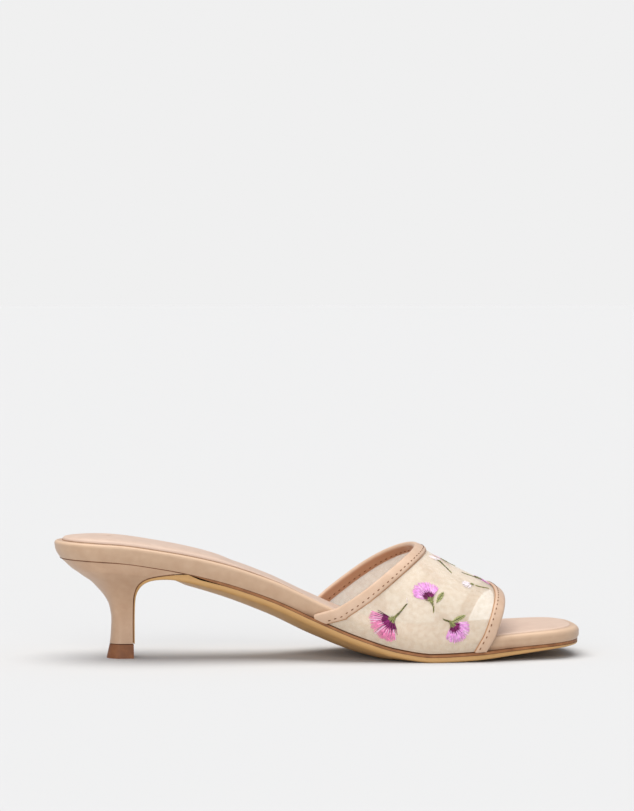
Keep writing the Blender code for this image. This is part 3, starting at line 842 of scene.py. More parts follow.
def stitchTree():
    tree = bpy.data.node_groups.new("seamStitches", "GeometryNodeTree")
    for label, kind in (("Geometry", "NodeSocketGeometry"), ("Pitch", "NodeSocketFloat"),
                        ("Stitch Length", "NodeSocketFloat"), ("Thread Radius", "NodeSocketFloat"),
                        ("Seed", "NodeSocketInt"), ("Finish", "NodeSocketMaterial")):
        tree.interface.new_socket(label, in_out="INPUT", socket_type=kind)
    tree.interface.new_socket("Geometry", in_out="OUTPUT", socket_type="NodeSocketGeometry")
    nodes, links = tree.nodes, tree.links
    given, out = nodes.new("NodeGroupInput"), nodes.new("NodeGroupOutput")
    curves = nodes.new("GeometryNodeMeshToCurve")
    spaced = nodes.new("GeometryNodeResampleCurve")
    spaced.mode = "LENGTH"
    tangent = nodes.new("GeometryNodeInputTangent")
    outward = nodes.new("GeometryNodeInputNamedAttribute")
    outward.data_type = "FLOAT_VECTOR"
    outward.inputs["Name"].default_value = "outward"
    alongLine = nodes.new("FunctionNodeAlignRotationToVector")
    alongLine.axis = "X"
    faceOut = nodes.new("FunctionNodeAlignRotationToVector")
    faceOut.axis = "Z"
    faceOut.pivot_axis = "X"
    ball = nodes.new("GeometryNodeMeshUVSphere")
    ball.inputs["Segments"].default_value = 6
    ball.inputs["Rings"].default_value = 5
    ball.inputs["Radius"].default_value = 1.0
    size = nodes.new("ShaderNodeCombineXYZ")
    halfLength = nodes.new("ShaderNodeMath")
    halfLength.operation = "MULTIPLY"
    halfLength.inputs[1].default_value = 0.5
    vary = nodes.new("FunctionNodeRandomValue")
    vary.data_type = "FLOAT"
    vary.inputs[2].default_value, vary.inputs[3].default_value = 0.85, 1.12
    varied = nodes.new("ShaderNodeMath")
    varied.operation = "MULTIPLY"
    instances = nodes.new("GeometryNodeInstanceOnPoints")
    real = nodes.new("GeometryNodeRealizeInstances")
    smooth = nodes.new("GeometryNodeSetShadeSmooth")
    finish = nodes.new("GeometryNodeSetMaterial")
    links.new(given.outputs["Geometry"], curves.inputs["Mesh"])
    links.new(curves.outputs["Curve"], spaced.inputs["Curve"])
    links.new(given.outputs["Pitch"], spaced.inputs["Length"])
    links.new(tangent.outputs["Tangent"], alongLine.inputs["Vector"])
    links.new(alongLine.outputs["Rotation"], faceOut.inputs["Rotation"])
    links.new(outward.outputs["Attribute"], faceOut.inputs["Vector"])
    links.new(given.outputs["Stitch Length"], halfLength.inputs[0])
    links.new(given.outputs["Seed"], vary.inputs["Seed"])
    links.new(halfLength.outputs[0], varied.inputs[0])
    links.new(vary.outputs[1], varied.inputs[1])
    links.new(varied.outputs[0], size.inputs["X"])
    links.new(given.outputs["Thread Radius"], size.inputs["Y"])
    links.new(given.outputs["Thread Radius"], size.inputs["Z"])
    links.new(spaced.outputs["Curve"], instances.inputs["Points"])
    links.new(ball.outputs["Mesh"], instances.inputs["Instance"])
    links.new(faceOut.outputs["Rotation"], instances.inputs["Rotation"])
    links.new(size.outputs["Vector"], instances.inputs["Scale"])
    links.new(instances.outputs["Instances"], real.inputs["Geometry"])
    links.new(real.outputs["Geometry"], smooth.inputs["Geometry"])
    links.new(smooth.outputs["Geometry"], finish.inputs["Geometry"])
    links.new(given.outputs["Finish"], finish.inputs["Material"])
    links.new(finish.outputs["Geometry"], out.inputs["Geometry"])
    return tree


trees = {"threads": threadTree(), "stitches": stitchTree()}


def runTree(name, lines, treeName, values):
    # lines: lists of (point, girth, outward); the tree turns their edges into a plain mesh
    verts, edges, girths, outwards = [], [], [], []
    for line in lines:
        start = len(verts)
        for point, girth, outward in line:
            verts.append(point + place)
            girths.append(girth)
            outwards.append(outward)
        edges += [(start + i, start + i + 1) for i in range(len(line) - 1)]
    mesh = bpy.data.meshes.new(name)
    mesh.from_pydata(verts, edges, [])
    girthData = mesh.attributes.new("girth", "FLOAT", "POINT")
    girthData.data.foreach_set("value", girths)
    outwardData = mesh.attributes.new("outward", "FLOAT_VECTOR", "POINT")
    outwardData.data.foreach_set("vector", [c for way in outwards for c in way])
    piece = bpy.data.objects.new(name, mesh)
    bpy.context.scene.collection.objects.link(piece)
    modifier = piece.modifiers.new(treeName, "NODES")
    modifier.node_group = trees[treeName]
    for item in trees[treeName].interface.items_tree:
        if item.in_out == "INPUT" and item.name in values:
            modifier[item.identifier] = values[item.name]
    evaluated = piece.evaluated_get(bpy.context.evaluated_depsgraph_get())
    plain = bpy.data.meshes.new_from_object(evaluated)
    piece.modifiers.clear()
    piece.data = plain
    plain.name = name
    for extra in ("girth", "outward"):
        if extra in plain.attributes:
            plain.attributes.remove(plain.attributes[extra])
    return piece


# seam lines: dark lines between the pieces; under the band, under the midsole and at the sock's edge
# they are painted shadow in the gaps and recesses

# tube radii; the under-band, midsole and sock lines are painted shadow
seamLook = {
    "underBand": 0.00030,     # radii
    "midsole": 0.00020,
    "sock": 0.00022,
    "flap": 0.00028,
    "bindingEdge": 0.00020,
}


def edgeRound(insetOf, heightOf, line, radius, girthOf=None):
    points = {side: [] for side in (outer, inner)}
    for station in line:
        girth = girthOf(station.x) if girthOf else 1.0
        for side in (outer, inner):
            spot = raised(station.at(side, insetOf(station.x)), heightOf)
            points[side].append((spot, girth, Vector((0, side, 0))))
    return points[outer][::-1] + points[inner][1:]


# painted shadow: dark brown tubes tucked under the band's edge and under the midsole's edge
def bandShadowLines():
    gap = shoe["gap"]
    underBand = edgeRound(lambda x: undercut(x) + 0.0002, lambda x: bedUnderside(x) - gap / 2,
                          stations, seamLook["underBand"],
                          lambda x: 1.0 if x < seatFront else 0.85)
    full = [station for station in stations if station.x > midsoleFull]
    below = gap * 1.5 + soleSizes["midsole"]
    underMidsole = [[(raised(station.at(side, soleInset(station.x) + 0.0002),
                             lambda x: bedUnderside(x) - below), 0.8, Vector((0, side, 0)))
                     for station in full] for side in (outer, inner)]
    return [underBand, underMidsole[0][::-1] + underMidsole[1]]


# painted shadow: a tan tube in the gap at the sock's cut edge, thinning where the edge goes soft
def sockGapShadowLines():
    line = [station for station in stations if cutEdge(station.x) > 0]
    return [edgeRound(lambda x: sockInset(x) - 0.00012, lambda x: bedTop(x) + 0.00005, line,
                      seamLook["sock"], lambda x: 0.1 + 0.9 * cutEdge(x))]


def flapSeams():
    lines = []
    for side in (outer, inner):
        line = []
        for level in [i / 60 for i in range(1, 59)]:
            start, outward = flapLine(level)
            spot = start + outward * shoe["gap"] / 2
            width = side * (heelHalfWidth(level, 1, side) - 0.00005)
            line.append((spot + Vector((0, width, 0)), 1.0, Vector((0, side, 0))))
        lines.append(line)
    return lines


def bindingFrame(edge, inwardSign, width, around):
    wall = vampSizes["binding"]
    legWidth = width - vampSizes["wall"] / 2 - shoe["gap"] - wall
    x = edgeX(edge, around)
    low, high = max(around - 0.01, 0), min(around + 0.01, 1)
    along = (vampPoint(edgeX(edge, high), high) - vampPoint(edgeX(edge, low), low)).normalized()
    lengthwise = (vampPoint(x + 0.001 * inwardSign, around) - vampPoint(x, around)) / 0.001
    into = lengthwise - along * lengthwise.dot(along)
    return x, inwardSign * legWidth / into.length


def bindingLine(edge, inwardSign, width, share, depth, low=0.0, high=1.0, count=300):
    line = []
    for step in range(count + 1):
        around = mix(low, high, step / count)
        x, reach = bindingFrame(edge, inwardSign, width, around)
        spot = vampPoint(x + reach * share, around)
        normal = vampNormal(x + reach * share, around)
        line.append((spot + normal * depth, 1.0, normal if depth > 0 else -normal))
    return line


# embroidery: thistles scattered over the vamp, sewn thread by thread

def arcTable(x):
    spots = [vampPoint(x, i / 200) for i in range(201)]
    arcs = [0.0]
    for a, b in zip(spots, spots[1:]):
        arcs.append(arcs[-1] + (b - a).length)
    return arcs


arcTables = {}


def aroundAt(x, arc):
    key = round(x * 2000)
    if key not in arcTables:
        arcTables[key] = arcTable(key / 2000)
    arcs = arcTables[key]
    i = min(max(bisect_right(arcs, arc) - 1, 0), 199)
    return (i + (arc - arcs[i]) / max(arcs[i + 1] - arcs[i], 1e-9)) / 200


def arcAtHeight(x, height, side):
    key = round(x * 2000)
    aroundAt(x, 0)
    low, high = 0.0, 0.5
    for _ in range(30):
        middle = (low + high) / 2
        spot = vampPoint(x, middle if side == outer else 1 - middle)
        low, high = (middle, high) if spot.z < height else (low, middle)
    share = low if side == outer else 1 - low
    arcs = arcTables[key]
    i = min(int(share * 200), 199)
    return mix(arcs[i], arcs[i + 1], share * 200 - i)


def sewn(flower, u, v, lift):
    # u to the toe and v up from the sole, metres along the cloth from the flower's cup
    x = flower["x"] + u
    arc = flower["arc"] + (v if flower["side"] == outer else -v)
    x0 = min(max(x, flower["x"] - 0.02), flower["x"] + 0.02)
    a = aroundAt(x0, arc)
    near = 0.0005
    b, c = aroundAt(x0 - near / 2, arc), aroundAt(x0 + near / 2, arc)
    around = (a + b + c) / 3
    low, high = edgeX(collarEdge, around), edgeX(toeEdge, around)
    share = (x0 - low) / (high - low)
    normal = vampNormal(x0, around)
    return vampPoint(x0, around) + normal * (vampSink(share, around) + lift), normal


def threadLine(flower, start, end, girth=1.0, lift=0.00008, loft=0.00022, points=5):
    line = []
    for i in range(points):
        t = i / (points - 1)
        spot, normal = sewn(flower, mix(start[0], end[0], t), mix(start[1], end[1], t),
                            lift + loft * math.sin(math.pi * t))
        line.append((spot, girth * (0.6 + 0.4 * math.sin(math.pi * min(max(t, 0.12), 0.88))),
                     normal))
    return line


def polar(radius, degrees):
    return radius * math.cos(math.radians(degrees)), radius * math.sin(math.radians(degrees))


# place: x from the heel's back and height of the cup, in metres; angles in degrees from the
# toe's direction, up; radius in metres; stem and leaf in millimetres from the cup
flowers = [
    {"x": 0.1527, "height": 0.0203, "side": outer, "axis": 227, "spread": 104, "radius": 0.0122,
     "heart": 0.62, "heartSpread": 128, "stem": [(0.8, 0.8), (3.6, 4.2), (6.8, 8.8)],
     "wisp": [(6.8, 8.8), (6.7, 11.2)], "tone": "rose"},
    {"x": 0.1705, "height": 0.0284, "side": outer, "axis": 116, "spread": 116, "radius": 0.0100,
     "heart": 0.56, "heartSpread": 112, "stem": [(0.3, -0.8), (0.9, -3.0), (0.9, -6.0)],
     "leaf": [(2.4, -1.2), (5.9, 4.0), 1.15], "tone": "lilac"},
    {"x": 0.1797, "height": 0.0180, "side": outer, "axis": 304, "spread": 122, "radius": 0.0094,
     "heart": 0.58, "heartSpread": 112, "stem": [(-0.4, 0.8), (-2.4, 1.5), (-4.7, 2.4)],
     "leaf": [(-0.2, 0.7), (5.9, 3.4), 1.05], "tone": "lilac"},
    {"x": 0.1782, "height": 0.0443, "side": outer, "axis": 120, "spread": 90, "radius": 0.0062,
     "heart": 0.0, "heartSpread": 60, "stem": [(0.4, 0.0), (2.2, -5.4), (4.4, -11.0)],
     "tone": "pale"},
    {"x": 0.1962, "height": 0.0361, "side": outer, "axis": 40, "spread": 110, "radius": 0.0080,
     "heart": 0.55, "heartSpread": 90, "stem": [(-0.6, -0.4), (-4.0, -1.2), (-7.8, -1.6)],
     "tone": "lilac"},
    {"x": 0.1918, "height": 0.0343, "side": outer, "axis": 196, "spread": 96, "radius": 0.0056,
     "heart": 0.0, "heartSpread": 60, "stem": [(1.4, -0.6), (4.2, -1.0), (8.2, 0.0)],
     "tone": "pale"},
    {"x": 0.1590, "height": 0.0255, "side": inner, "axis": 235, "spread": 112, "radius": 0.0108,
     "heart": 0.60, "heartSpread": 116, "stem": [(0.6, 0.8), (3.4, 4.4), (6.0, 8.2)],
     "leaf": [(2.2, 1.0), (6.4, 1.6), 1.0], "tone": "rose"},
    {"x": 0.1790, "height": 0.0330, "side": inner, "axis": 70, "spread": 116, "radius": 0.0096,
     "heart": 0.58, "heartSpread": 112, "stem": [(-0.3, -0.8), (-0.8, -3.6), (-2.0, -6.8)],
     "tone": "lilac"},
    {"x": 0.1850, "height": 0.0170, "side": inner, "axis": 318, "spread": 112, "radius": 0.0090,
     "heart": 0.60, "heartSpread": 112, "stem": [(-0.4, 0.8), (-2.6, 2.4), (-5.0, 3.8)],
     "leaf": [(0.2, 0.9), (4.2, 4.8), 0.95], "tone": "rose"},
    {"x": 0.1850, "height": 0.0420, "side": inner, "axis": 250, "spread": 112, "radius": 0.0084,
     "heart": 0.58, "heartSpread": 108, "stem": [(0.3, 0.7), (2.2, 3.0), (3.6, 6.2)],
     "tone": "lilac"},
    {"x": 0.1975, "height": 0.0285, "side": inner, "axis": 150, "spread": 96, "radius": 0.0062,
     "heart": 0.0, "heartSpread": 80, "stem": [(1.0, -0.6), (2.4, -2.8), (2.2, -6.2)],
     "tone": "pale"},
]
tones = {    # outer fan, strands through it, heart, shade of the heart
    "rose": ("rosePink", "palePink", "thistlePurple", "deepPlum"),
    "lilac": ("lilacPink", "palePink", "thistlePurple", "deepPlum"),
    "pale": ("blossomWhite", "blossomWhite", "palePink", "palePink"),
}
toneFill = {"rose": 1.0, "lilac": 1.0, "pale": 0.55}     # how closely the fan is sewn
threadLook = {"radius": 0.00017, "sides": 5, "fanStep": 0.00034, "heartStep": 0.00034}


def fanRadius(flower, degrees, spread):
    off = abs(degrees - flower["axis"]) / (spread / 2)
    return flower["radius"] * (1 - 0.24 * min(off, 1.3) ** 2)


def sewFlower(flower, threads, rng):
    flower["arc"] = arcAtHeight(flower["x"], flower["height"], flower["side"])
    fan, strand, heart, shade = tones[flower["tone"]]
    length = math.radians(flower["spread"]) * flower["radius"]
    count = int(length / threadLook["fanStep"] * toneFill[flower["tone"]])
    for ring, (low, high, lift) in enumerate(((0.42, 1.0, 0.00006), (0.30, 0.80, 0.00016))):
        for i in range(int(count * (1.0 if ring == 0 else 0.7))):
            t = (i + rng.uniform(0.1, 0.9)) / (count * (1.0 if ring == 0 else 0.7))
            angle = flower["axis"] + (t - 0.5) * flower["spread"]
            radius = fanRadius(flower, angle, flower["spread"])
            tip = radius * high * rng.uniform(0.93, 1.03)
            colour = strand if rng.random() < (0.16 if ring == 0 else 0.24) else fan
            start = polar(radius * low * rng.uniform(0.85, 1.15), angle + rng.uniform(-2, 2))
            threads[colour].append(threadLine(flower, start, polar(tip, angle), 1.0, lift))
    if flower["heart"]:
        length = math.radians(flower["heartSpread"]) * flower["radius"] * flower["heart"]
        count = int(length / threadLook["heartStep"] * 1.35)
        for i in range(count):
            t = (i + rng.uniform(0.1, 0.9)) / count
            angle = flower["axis"] + (t - 0.5) * flower["heartSpread"]
            spike = rng.uniform(1.05, 1.34) if i % 4 == 0 else rng.uniform(0.72, 0.98)
            off = abs(angle - flower["axis"]) / (flower["heartSpread"] / 2)
            tip = flower["radius"] * flower["heart"] * spike * (1 - 0.3 * off ** 2)
            colour = shade if rng.random() < 0.5 else heart
            start = polar(0.0008, angle + rng.uniform(-6, 6))
            threads[colour].append(threadLine(flower, start, polar(tip, angle), 1.05, 0.00024,
                                              0.0002))
    cup = 0.0030 if flower["heart"] else 0.0012
    for i in range(24):     # the green cup
        angle = flower["axis"] + (i / 23 - 0.5) * 124 + rng.uniform(-6, 6)
        colour = ("mossGreen", "leafGreen", "darkStem")[i % 3]
        start = polar(cup * 0.42, angle + 180 + rng.uniform(-35, 35))
        end = polar(cup * rng.uniform(0.55, 1.1), angle)
        threads[colour].append(threadLine(flower, start, end, 1.0, 0.00034, 0.0001, 4))
    stem = [(u / 1000, v / 1000) for u, v in flower["stem"]]
    for (a, b) in zip(stem, stem[1:]):
        run = math.hypot(b[0] - a[0], b[1] - a[1])
        along = ((b[0] - a[0]) / run, (b[1] - a[1]) / run)
        for i in range(max(2, int(run / 0.00042))):
            t = i * 0.00042 / run
            side = 0.00052 * (1.2 - 0.5 * t) if a == stem[0] else 0.00036 * (1.0 - 0.3 * t)
            middle = (mix(a[0], b[0], t), mix(a[1], b[1], t))
            start = (middle[0] - along[0] * 0.0005 - along[1] * side,
                     middle[1] - along[1] * 0.0005 + along[0] * side)
            end = (middle[0] + along[0] * 0.0005 + along[1] * side,
                   middle[1] + along[1] * 0.0005 - along[0] * side)
            colour = "darkStem" if rng.random() < 0.34 else "mossGreen"
            threads[colour].append(threadLine(flower, start, end, 0.9, 0.0001, 0.00012, 3))
    if "leaf" in flower:
        (u0, v0), (u1, v1), half = flower["leaf"]
        run = math.hypot(u1 - u0, v1 - v0)
        along = ((u1 - u0) / run, (v1 - v0) / run)
        count = int(run / 0.30)
        for i in range(count):
            t = (i + 0.5) / count
            wide = half * math.sin(math.pi * min(0.96, t * 0.92 + 0.06)) ** 0.8
            for way in (-1, 1):
                base = (mix(u0, u1, t), mix(v0, v1, t))
                end = (base[0] + along[0] * 0.7 - way * along[1] * wide,
                       base[1] + along[1] * 0.7 + way * along[0] * wide)
                colour = ("leafGreen", "paleGreen", "mossGreen")[(i + (way > 0)) % 3]
                threads[colour].append(threadLine(
                    flower, (base[0] / 1000, base[1] / 1000), (end[0] / 1000, end[1] / 1000),
                    0.95, 0.0001, 0.00015, 3))
        vein = threadLine(flower, (u0 / 1000, v0 / 1000), (u1 / 1000, v1 / 1000), 0.8, 0.0003,
                          0.0001, 6)
        threads["darkStem"].append(vein)
    if "wisp" in flower:
        a, b = [(u / 1000, v / 1000) for u, v in flower["wisp"]]
        threads["blossomWhite"].append(threadLine(flower, a, b, 0.9))


# shader groups and materials

def newGroup(name, inputs, outputs):
    group = bpy.data.node_groups.new(name, "ShaderNodeTree")
    for label, kind, value in inputs:
        socket = group.interface.new_socket(label, in_out="INPUT", socket_type=kind)
        socket.default_value = value
    for label, kind in outputs:
        group.interface.new_socket(label, in_out="OUTPUT", socket_type=kind)
    nodes = group.nodes
    return group, nodes, group.links, nodes.new("NodeGroupInput"), nodes.new("NodeGroupOutput")


def mathNode(nodes, links, kind, a, b=None):
    node = nodes.new("ShaderNodeMath")
    node.operation = kind
    for socket, value in zip(node.inputs, (a, b)):
        if value is None:
            continue
        if isinstance(value, (int, float)):
            socket.default_value = value
        else:
            links.new(value, socket)
    return node.outputs[0]


def buildLeatherGroup():
    group, nodes, links, given, out = newGroup(
        "leatherGrain",
        [("Pebble Size", "NodeSocketFloat", 0.0007), ("Mottle Size", "NodeSocketFloat", 0.012)],
        [("Height", "NodeSocketFloat"), ("Mottle", "NodeSocketFloat")])
    coords = nodes.new("ShaderNodeTexCoord")
    outputs = []
    for size, kind in (("Pebble Size", "voronoi"), ("Pebble Size", "noise"), ("Mottle Size", "noise")):
        scale = mathNode(nodes, links, "DIVIDE", 1.0, given.outputs[size])
        if kind == "voronoi":
            node = nodes.new("ShaderNodeTexVoronoi")
            node.feature = "SMOOTH_F1"
            value = "Distance"
        else:
            node = nodes.new("ShaderNodeTexNoise")
            node.inputs["Detail"].default_value = 4
            value = "Fac"
        links.new(coords.outputs["Object"], node.inputs["Vector"])
        links.new(scale, node.inputs["Scale"])
        outputs.append(node.outputs[value])
    pebbles = mathNode(nodes, links, "SUBTRACT", 1.0, outputs[0])
    both = mathNode(nodes, links, "ADD", pebbles, outputs[1])
    links.new(both, out.inputs["Height"])
    links.new(outputs[2], out.inputs["Mottle"])
    return group


leatherGroup = buildLeatherGroup()


def leather(name, colour, dark, light, roughness, coat, pebble=0.0007, bump=0.00003,
            rimHighlight=(0, 0, 0), innerLegShade=None, mottle=0.005):
    material = bpy.data.materials.new(name)
    material.use_nodes = True
    nodes, links = material.node_tree.nodes, material.node_tree.links
    shader = nodes["Principled BSDF"]
    grain = nodes.new("ShaderNodeGroup")
    grain.node_tree = leatherGroup
    grain.inputs["Pebble Size"].default_value = pebble
    grain.inputs["Mottle Size"].default_value = mottle
    ramp = nodes.new("ShaderNodeValToRGB")
    ramp.color_ramp.elements[0].position, ramp.color_ramp.elements[0].color = 0.3, (*dark, 1)
    ramp.color_ramp.elements[1].position, ramp.color_ramp.elements[1].color = 0.7, (*light, 1)
    middle = ramp.color_ramp.elements.new(0.5)
    middle.color = (*colour, 1)
    links.new(grain.outputs["Mottle"], ramp.inputs["Fac"])
    # painted highlight: where rim is above zero the colour moves to the light tone and the extra rim
    # colour; painted shade below zero is clamped off
    rim = nodes.new("ShaderNodeAttribute")
    rim.attribute_name = "rim"
    lit = nodes.new("ShaderNodeMix")
    lit.data_type = "RGBA"
    lit.clamp_factor = True
    links.new(rim.outputs["Fac"], lit.inputs[0])
    links.new(ramp.outputs["Color"], lit.inputs[6])
    lit.inputs[7].default_value = (*[min(1, c + s) for c, s in zip(light, rimHighlight)], 1)
    base = lit.outputs[2]
    # painted shade: the folded strip's inner leg, told apart by its map, takes a darker colour
    if innerLegShade:      # the folded strip's inner leg, told by its own map
        uv = nodes.new("ShaderNodeUVMap")
        uv.uv_map = "weaveMap"
        split = nodes.new("ShaderNodeSeparateXYZ")
        inside = nodes.new("ShaderNodeMapRange")
        inside.inputs["From Min"].default_value = 0.60
        inside.inputs["From Max"].default_value = 0.72
        innerLegShaded = nodes.new("ShaderNodeMix")
        innerLegShaded.data_type = "RGBA"
        innerLegShaded.inputs[7].default_value = (*innerLegShade, 1)
        links.new(uv.outputs["UV"], split.inputs[0])
        links.new(split.outputs[1], inside.inputs["Value"])
        links.new(inside.outputs["Result"], innerLegShaded.inputs[0])
        links.new(base, innerLegShaded.inputs[6])
        base = innerLegShaded.outputs[2]
    links.new(base, shader.inputs["Base Color"])
    rough = nodes.new("ShaderNodeMapRange")
    links.new(grain.outputs["Mottle"], rough.inputs["Value"])
    rough.inputs["From Min"].default_value, rough.inputs["From Max"].default_value = 0.3, 0.7
    rough.inputs["To Min"].default_value = roughness - 0.05
    rough.inputs["To Max"].default_value = roughness + 0.06
    links.new(rough.outputs["Result"], shader.inputs["Roughness"])
    bumpNode = nodes.new("ShaderNodeBump")
    bumpNode.inputs["Distance"].default_value = bump
    bumpNode.inputs["Strength"].default_value = 0.6
    links.new(grain.outputs["Height"], bumpNode.inputs["Height"])
    links.new(bumpNode.outputs["Normal"], shader.inputs["Normal"])
    shader.inputs["Coat Weight"].default_value = coat
    shader.inputs["Coat Roughness"].default_value = 0.35
    shader.inputs["Specular IOR Level"].default_value = 0.4
    return material


def srgb(r, g, b):
    return tuple((c / 255 / 12.92) if c / 255 <= 0.04045 else ((c / 255 + 0.055) / 1.055) ** 2.4
                 for c in (r, g, b))


def silkThread(name, colour, roughness=0.5):
    material = bpy.data.materials.new(name)
    material.use_nodes = True
    nodes, links = material.node_tree.nodes, material.node_tree.links
    shader = nodes["Principled BSDF"]
    coords = nodes.new("ShaderNodeTexCoord")
    noise = nodes.new("ShaderNodeTexNoise")
    noise.inputs["Scale"].default_value = 900
    links.new(coords.outputs["Object"], noise.inputs["Vector"])
    ramp = nodes.new("ShaderNodeValToRGB")
    ramp.color_ramp.elements[0].position = 0.3
    ramp.color_ramp.elements[0].color = (*[c * 0.72 for c in colour], 1)
    ramp.color_ramp.elements[1].position = 0.7
    ramp.color_ramp.elements[1].color = (*[min(1, c * 1.2) for c in colour], 1)
    links.new(noise.outputs["Fac"], ramp.inputs["Fac"])
    links.new(ramp.outputs["Color"], shader.inputs["Base Color"])
    shader.inputs["Roughness"].default_value = roughness
    shader.inputs["Specular IOR Level"].default_value = 0.25
    return material


def meshCloth():
    material = bpy.data.materials.new("sheerMesh")
    material.use_nodes = True
    nodes, links = material.node_tree.nodes, material.node_tree.links
    shader = nodes["Principled BSDF"]
    uv = nodes.new("ShaderNodeUVMap")
    uv.uv_map = "weaveMap"
    split = nodes.new("ShaderNodeSeparateXYZ")
    links.new(uv.outputs["UV"], split.inputs[0])
    waves = []
    for axis in (0, 1):
        turn = mathNode(nodes, links, "MULTIPLY", split.outputs[axis], 2 * math.pi / 0.00062)
        wave = mathNode(nodes, links, "SINE", turn)
        waves.append(mathNode(nodes, links, "ABSOLUTE", wave))
    thread = mathNode(nodes, links, "MAXIMUM", waves[0], waves[1])
    cover = nodes.new("ShaderNodeMapRange")
    links.new(thread, cover.inputs["Value"])
    cover.inputs["From Min"].default_value, cover.inputs["From Max"].default_value = 0.3, 0.75
    cover.inputs["To Min"].default_value, cover.inputs["To Max"].default_value = 0.16, 0.50
    links.new(cover.outputs["Result"], shader.inputs["Alpha"])
    coords = nodes.new("ShaderNodeTexCoord")
    noise = nodes.new("ShaderNodeTexNoise")
    noise.inputs["Scale"].default_value = 420
    noise.inputs["Detail"].default_value = 3
    links.new(coords.outputs["Object"], noise.inputs["Vector"])
    ramp = nodes.new("ShaderNodeValToRGB")
    ramp.color_ramp.elements[0].position = 0.35
    ramp.color_ramp.elements[0].color = (*srgb(236, 219, 196), 1)
    ramp.color_ramp.elements[1].position = 0.65
    ramp.color_ramp.elements[1].color = (*srgb(247, 234, 214), 1)
    links.new(noise.outputs["Fac"], ramp.inputs["Fac"])
    links.new(ramp.outputs["Color"], shader.inputs["Base Color"])
    bump = nodes.new("ShaderNodeBump")
    bump.inputs["Distance"].default_value = 0.0001
    bump.inputs["Strength"].default_value = 0.5
    links.new(thread, bump.inputs["Height"])
    links.new(bump.outputs["Normal"], shader.inputs["Normal"])
    shader.inputs["Roughness"].default_value = 0.75
    shader.inputs["Sheen Weight"].default_value = 0.25
    return material


studio = {
    "floorReach": 14.0,
    "floorTone": (0.617, 0.617, 0.619),
    "backdrop": (0.871, 0.871, 0.871),    # what the camera sees past the floor
    "air": (0.385, 0.445, 0.515),         # what lights the shoe from all round
    "lampTint": (1.055, 0.995, 0.925),
    "lamps": {      # energy, angle across in degrees, and where from
        "overheadSun": (2.70, 60.0, (-0.10, 0.10, 1.0)),
        "frontFill": (1.45, 50.0, (-0.25, -1.0, 0.30)),
    },
}


def addStage():
    bm = bmesh.new()
    reach = studio["floorReach"]
    corners = [bm.verts.new((x, y, 0)) for x, y in ((-reach, -reach), (reach, -reach),
                                                    (reach, reach), (-reach, reach))]
    bm.faces.new(corners)
    mesh = bpy.data.meshes.new("studioFloor")
    bm.to_mesh(mesh)
    bm.free()
    floor = bpy.data.objects.new("studioFloor", mesh)
    bpy.context.scene.collection.objects.link(floor)
    paper = bpy.data.materials.new("studioPaper")
    paper.use_nodes = True
    shader = paper.node_tree.nodes["Principled BSDF"]
    shader.inputs["Base Color"].default_value = (*studio["floorTone"], 1)
    shader.inputs["Roughness"].default_value = 1.0
    shader.inputs["Specular IOR Level"].default_value = 0.0
    mesh.materials.append(paper)
    world = bpy.data.worlds.new("studioAir")
    world.use_nodes = True
    nodes, links = world.node_tree.nodes, world.node_tree.links
    nodes["Background"].inputs["Color"].default_value = (*studio["air"], 1)
    seen = nodes.new("ShaderNodeBackground")
    seen.inputs["Color"].default_value = (*studio["backdrop"], 1)
    path, either = nodes.new("ShaderNodeLightPath"), nodes.new("ShaderNodeMixShader")
    links.new(path.outputs["Is Camera Ray"], either.inputs[0])
    links.new(nodes["Background"].outputs[0], either.inputs[1])
    links.new(seen.outputs[0], either.inputs[2])
    links.new(either.outputs[0], nodes["World Output"].inputs["Surface"])
    bpy.context.scene.world = world
    for name, (energy, across, origin) in studio["lamps"].items():
        light = bpy.data.lights.new(name, "SUN")
        light.energy, light.angle = energy, math.radians(across)
        light.color = studio["lampTint"]
        lamp = bpy.data.objects.new(name, light)
        lamp.rotation_euler = (-Vector(origin)).to_track_quat("-Z", "Y").to_euler()
        bpy.context.scene.collection.objects.link(lamp)
    bpy.context.scene.view_settings.view_transform = "Standard"


# putting it together

# the band's extra rim colour is a painted highlight on its rounded top edge
bandLeather = leather("bandLeather", srgb(192, 160, 132), srgb(188, 155, 127),
                      srgb(197, 166, 138), 0.45, 0.1, rimHighlight=(0.10, 0.08, 0.06))
sockLeather = leather("sockLeather", srgb(204, 177, 158), srgb(200, 172, 152), srgb(208, 182, 164),
                      0.52, 0.04)
heelLeather = leather("heelLeather", srgb(190, 156, 128), srgb(186, 151, 123), srgb(195, 162, 134),
                      0.42, 0.15)
# the darker colour given for the inner leg is painted shade
bindingLeather = leather("bindingLeather", srgb(204, 172, 146), srgb(200, 167, 140),
                         srgb(209, 178, 153), 0.45, 0.1, innerLegShade=srgb(178, 132, 102))
outsoleLeather = leather("outsoleLeather", srgb(190, 146, 90), srgb(182, 137, 82),
                         srgb(197, 154, 99), 0.5, 0.05)
midsoleEdge = leather("midsoleEdge", srgb(150, 98, 58), srgb(128, 80, 45), srgb(165, 112, 70),
                      0.55, 0.0)
topPieceRubber = leather("topPieceRubber", srgb(132, 82, 48), srgb(118, 70, 38), srgb(146, 96, 60),
                         0.6, 0.0, pebble=0.0004)
sheerMesh = meshCloth()


def dress(piece, nodes, material):
    piece.data.materials.append(material)
    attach(piece, "root")
    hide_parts(*nodes)
    return piece


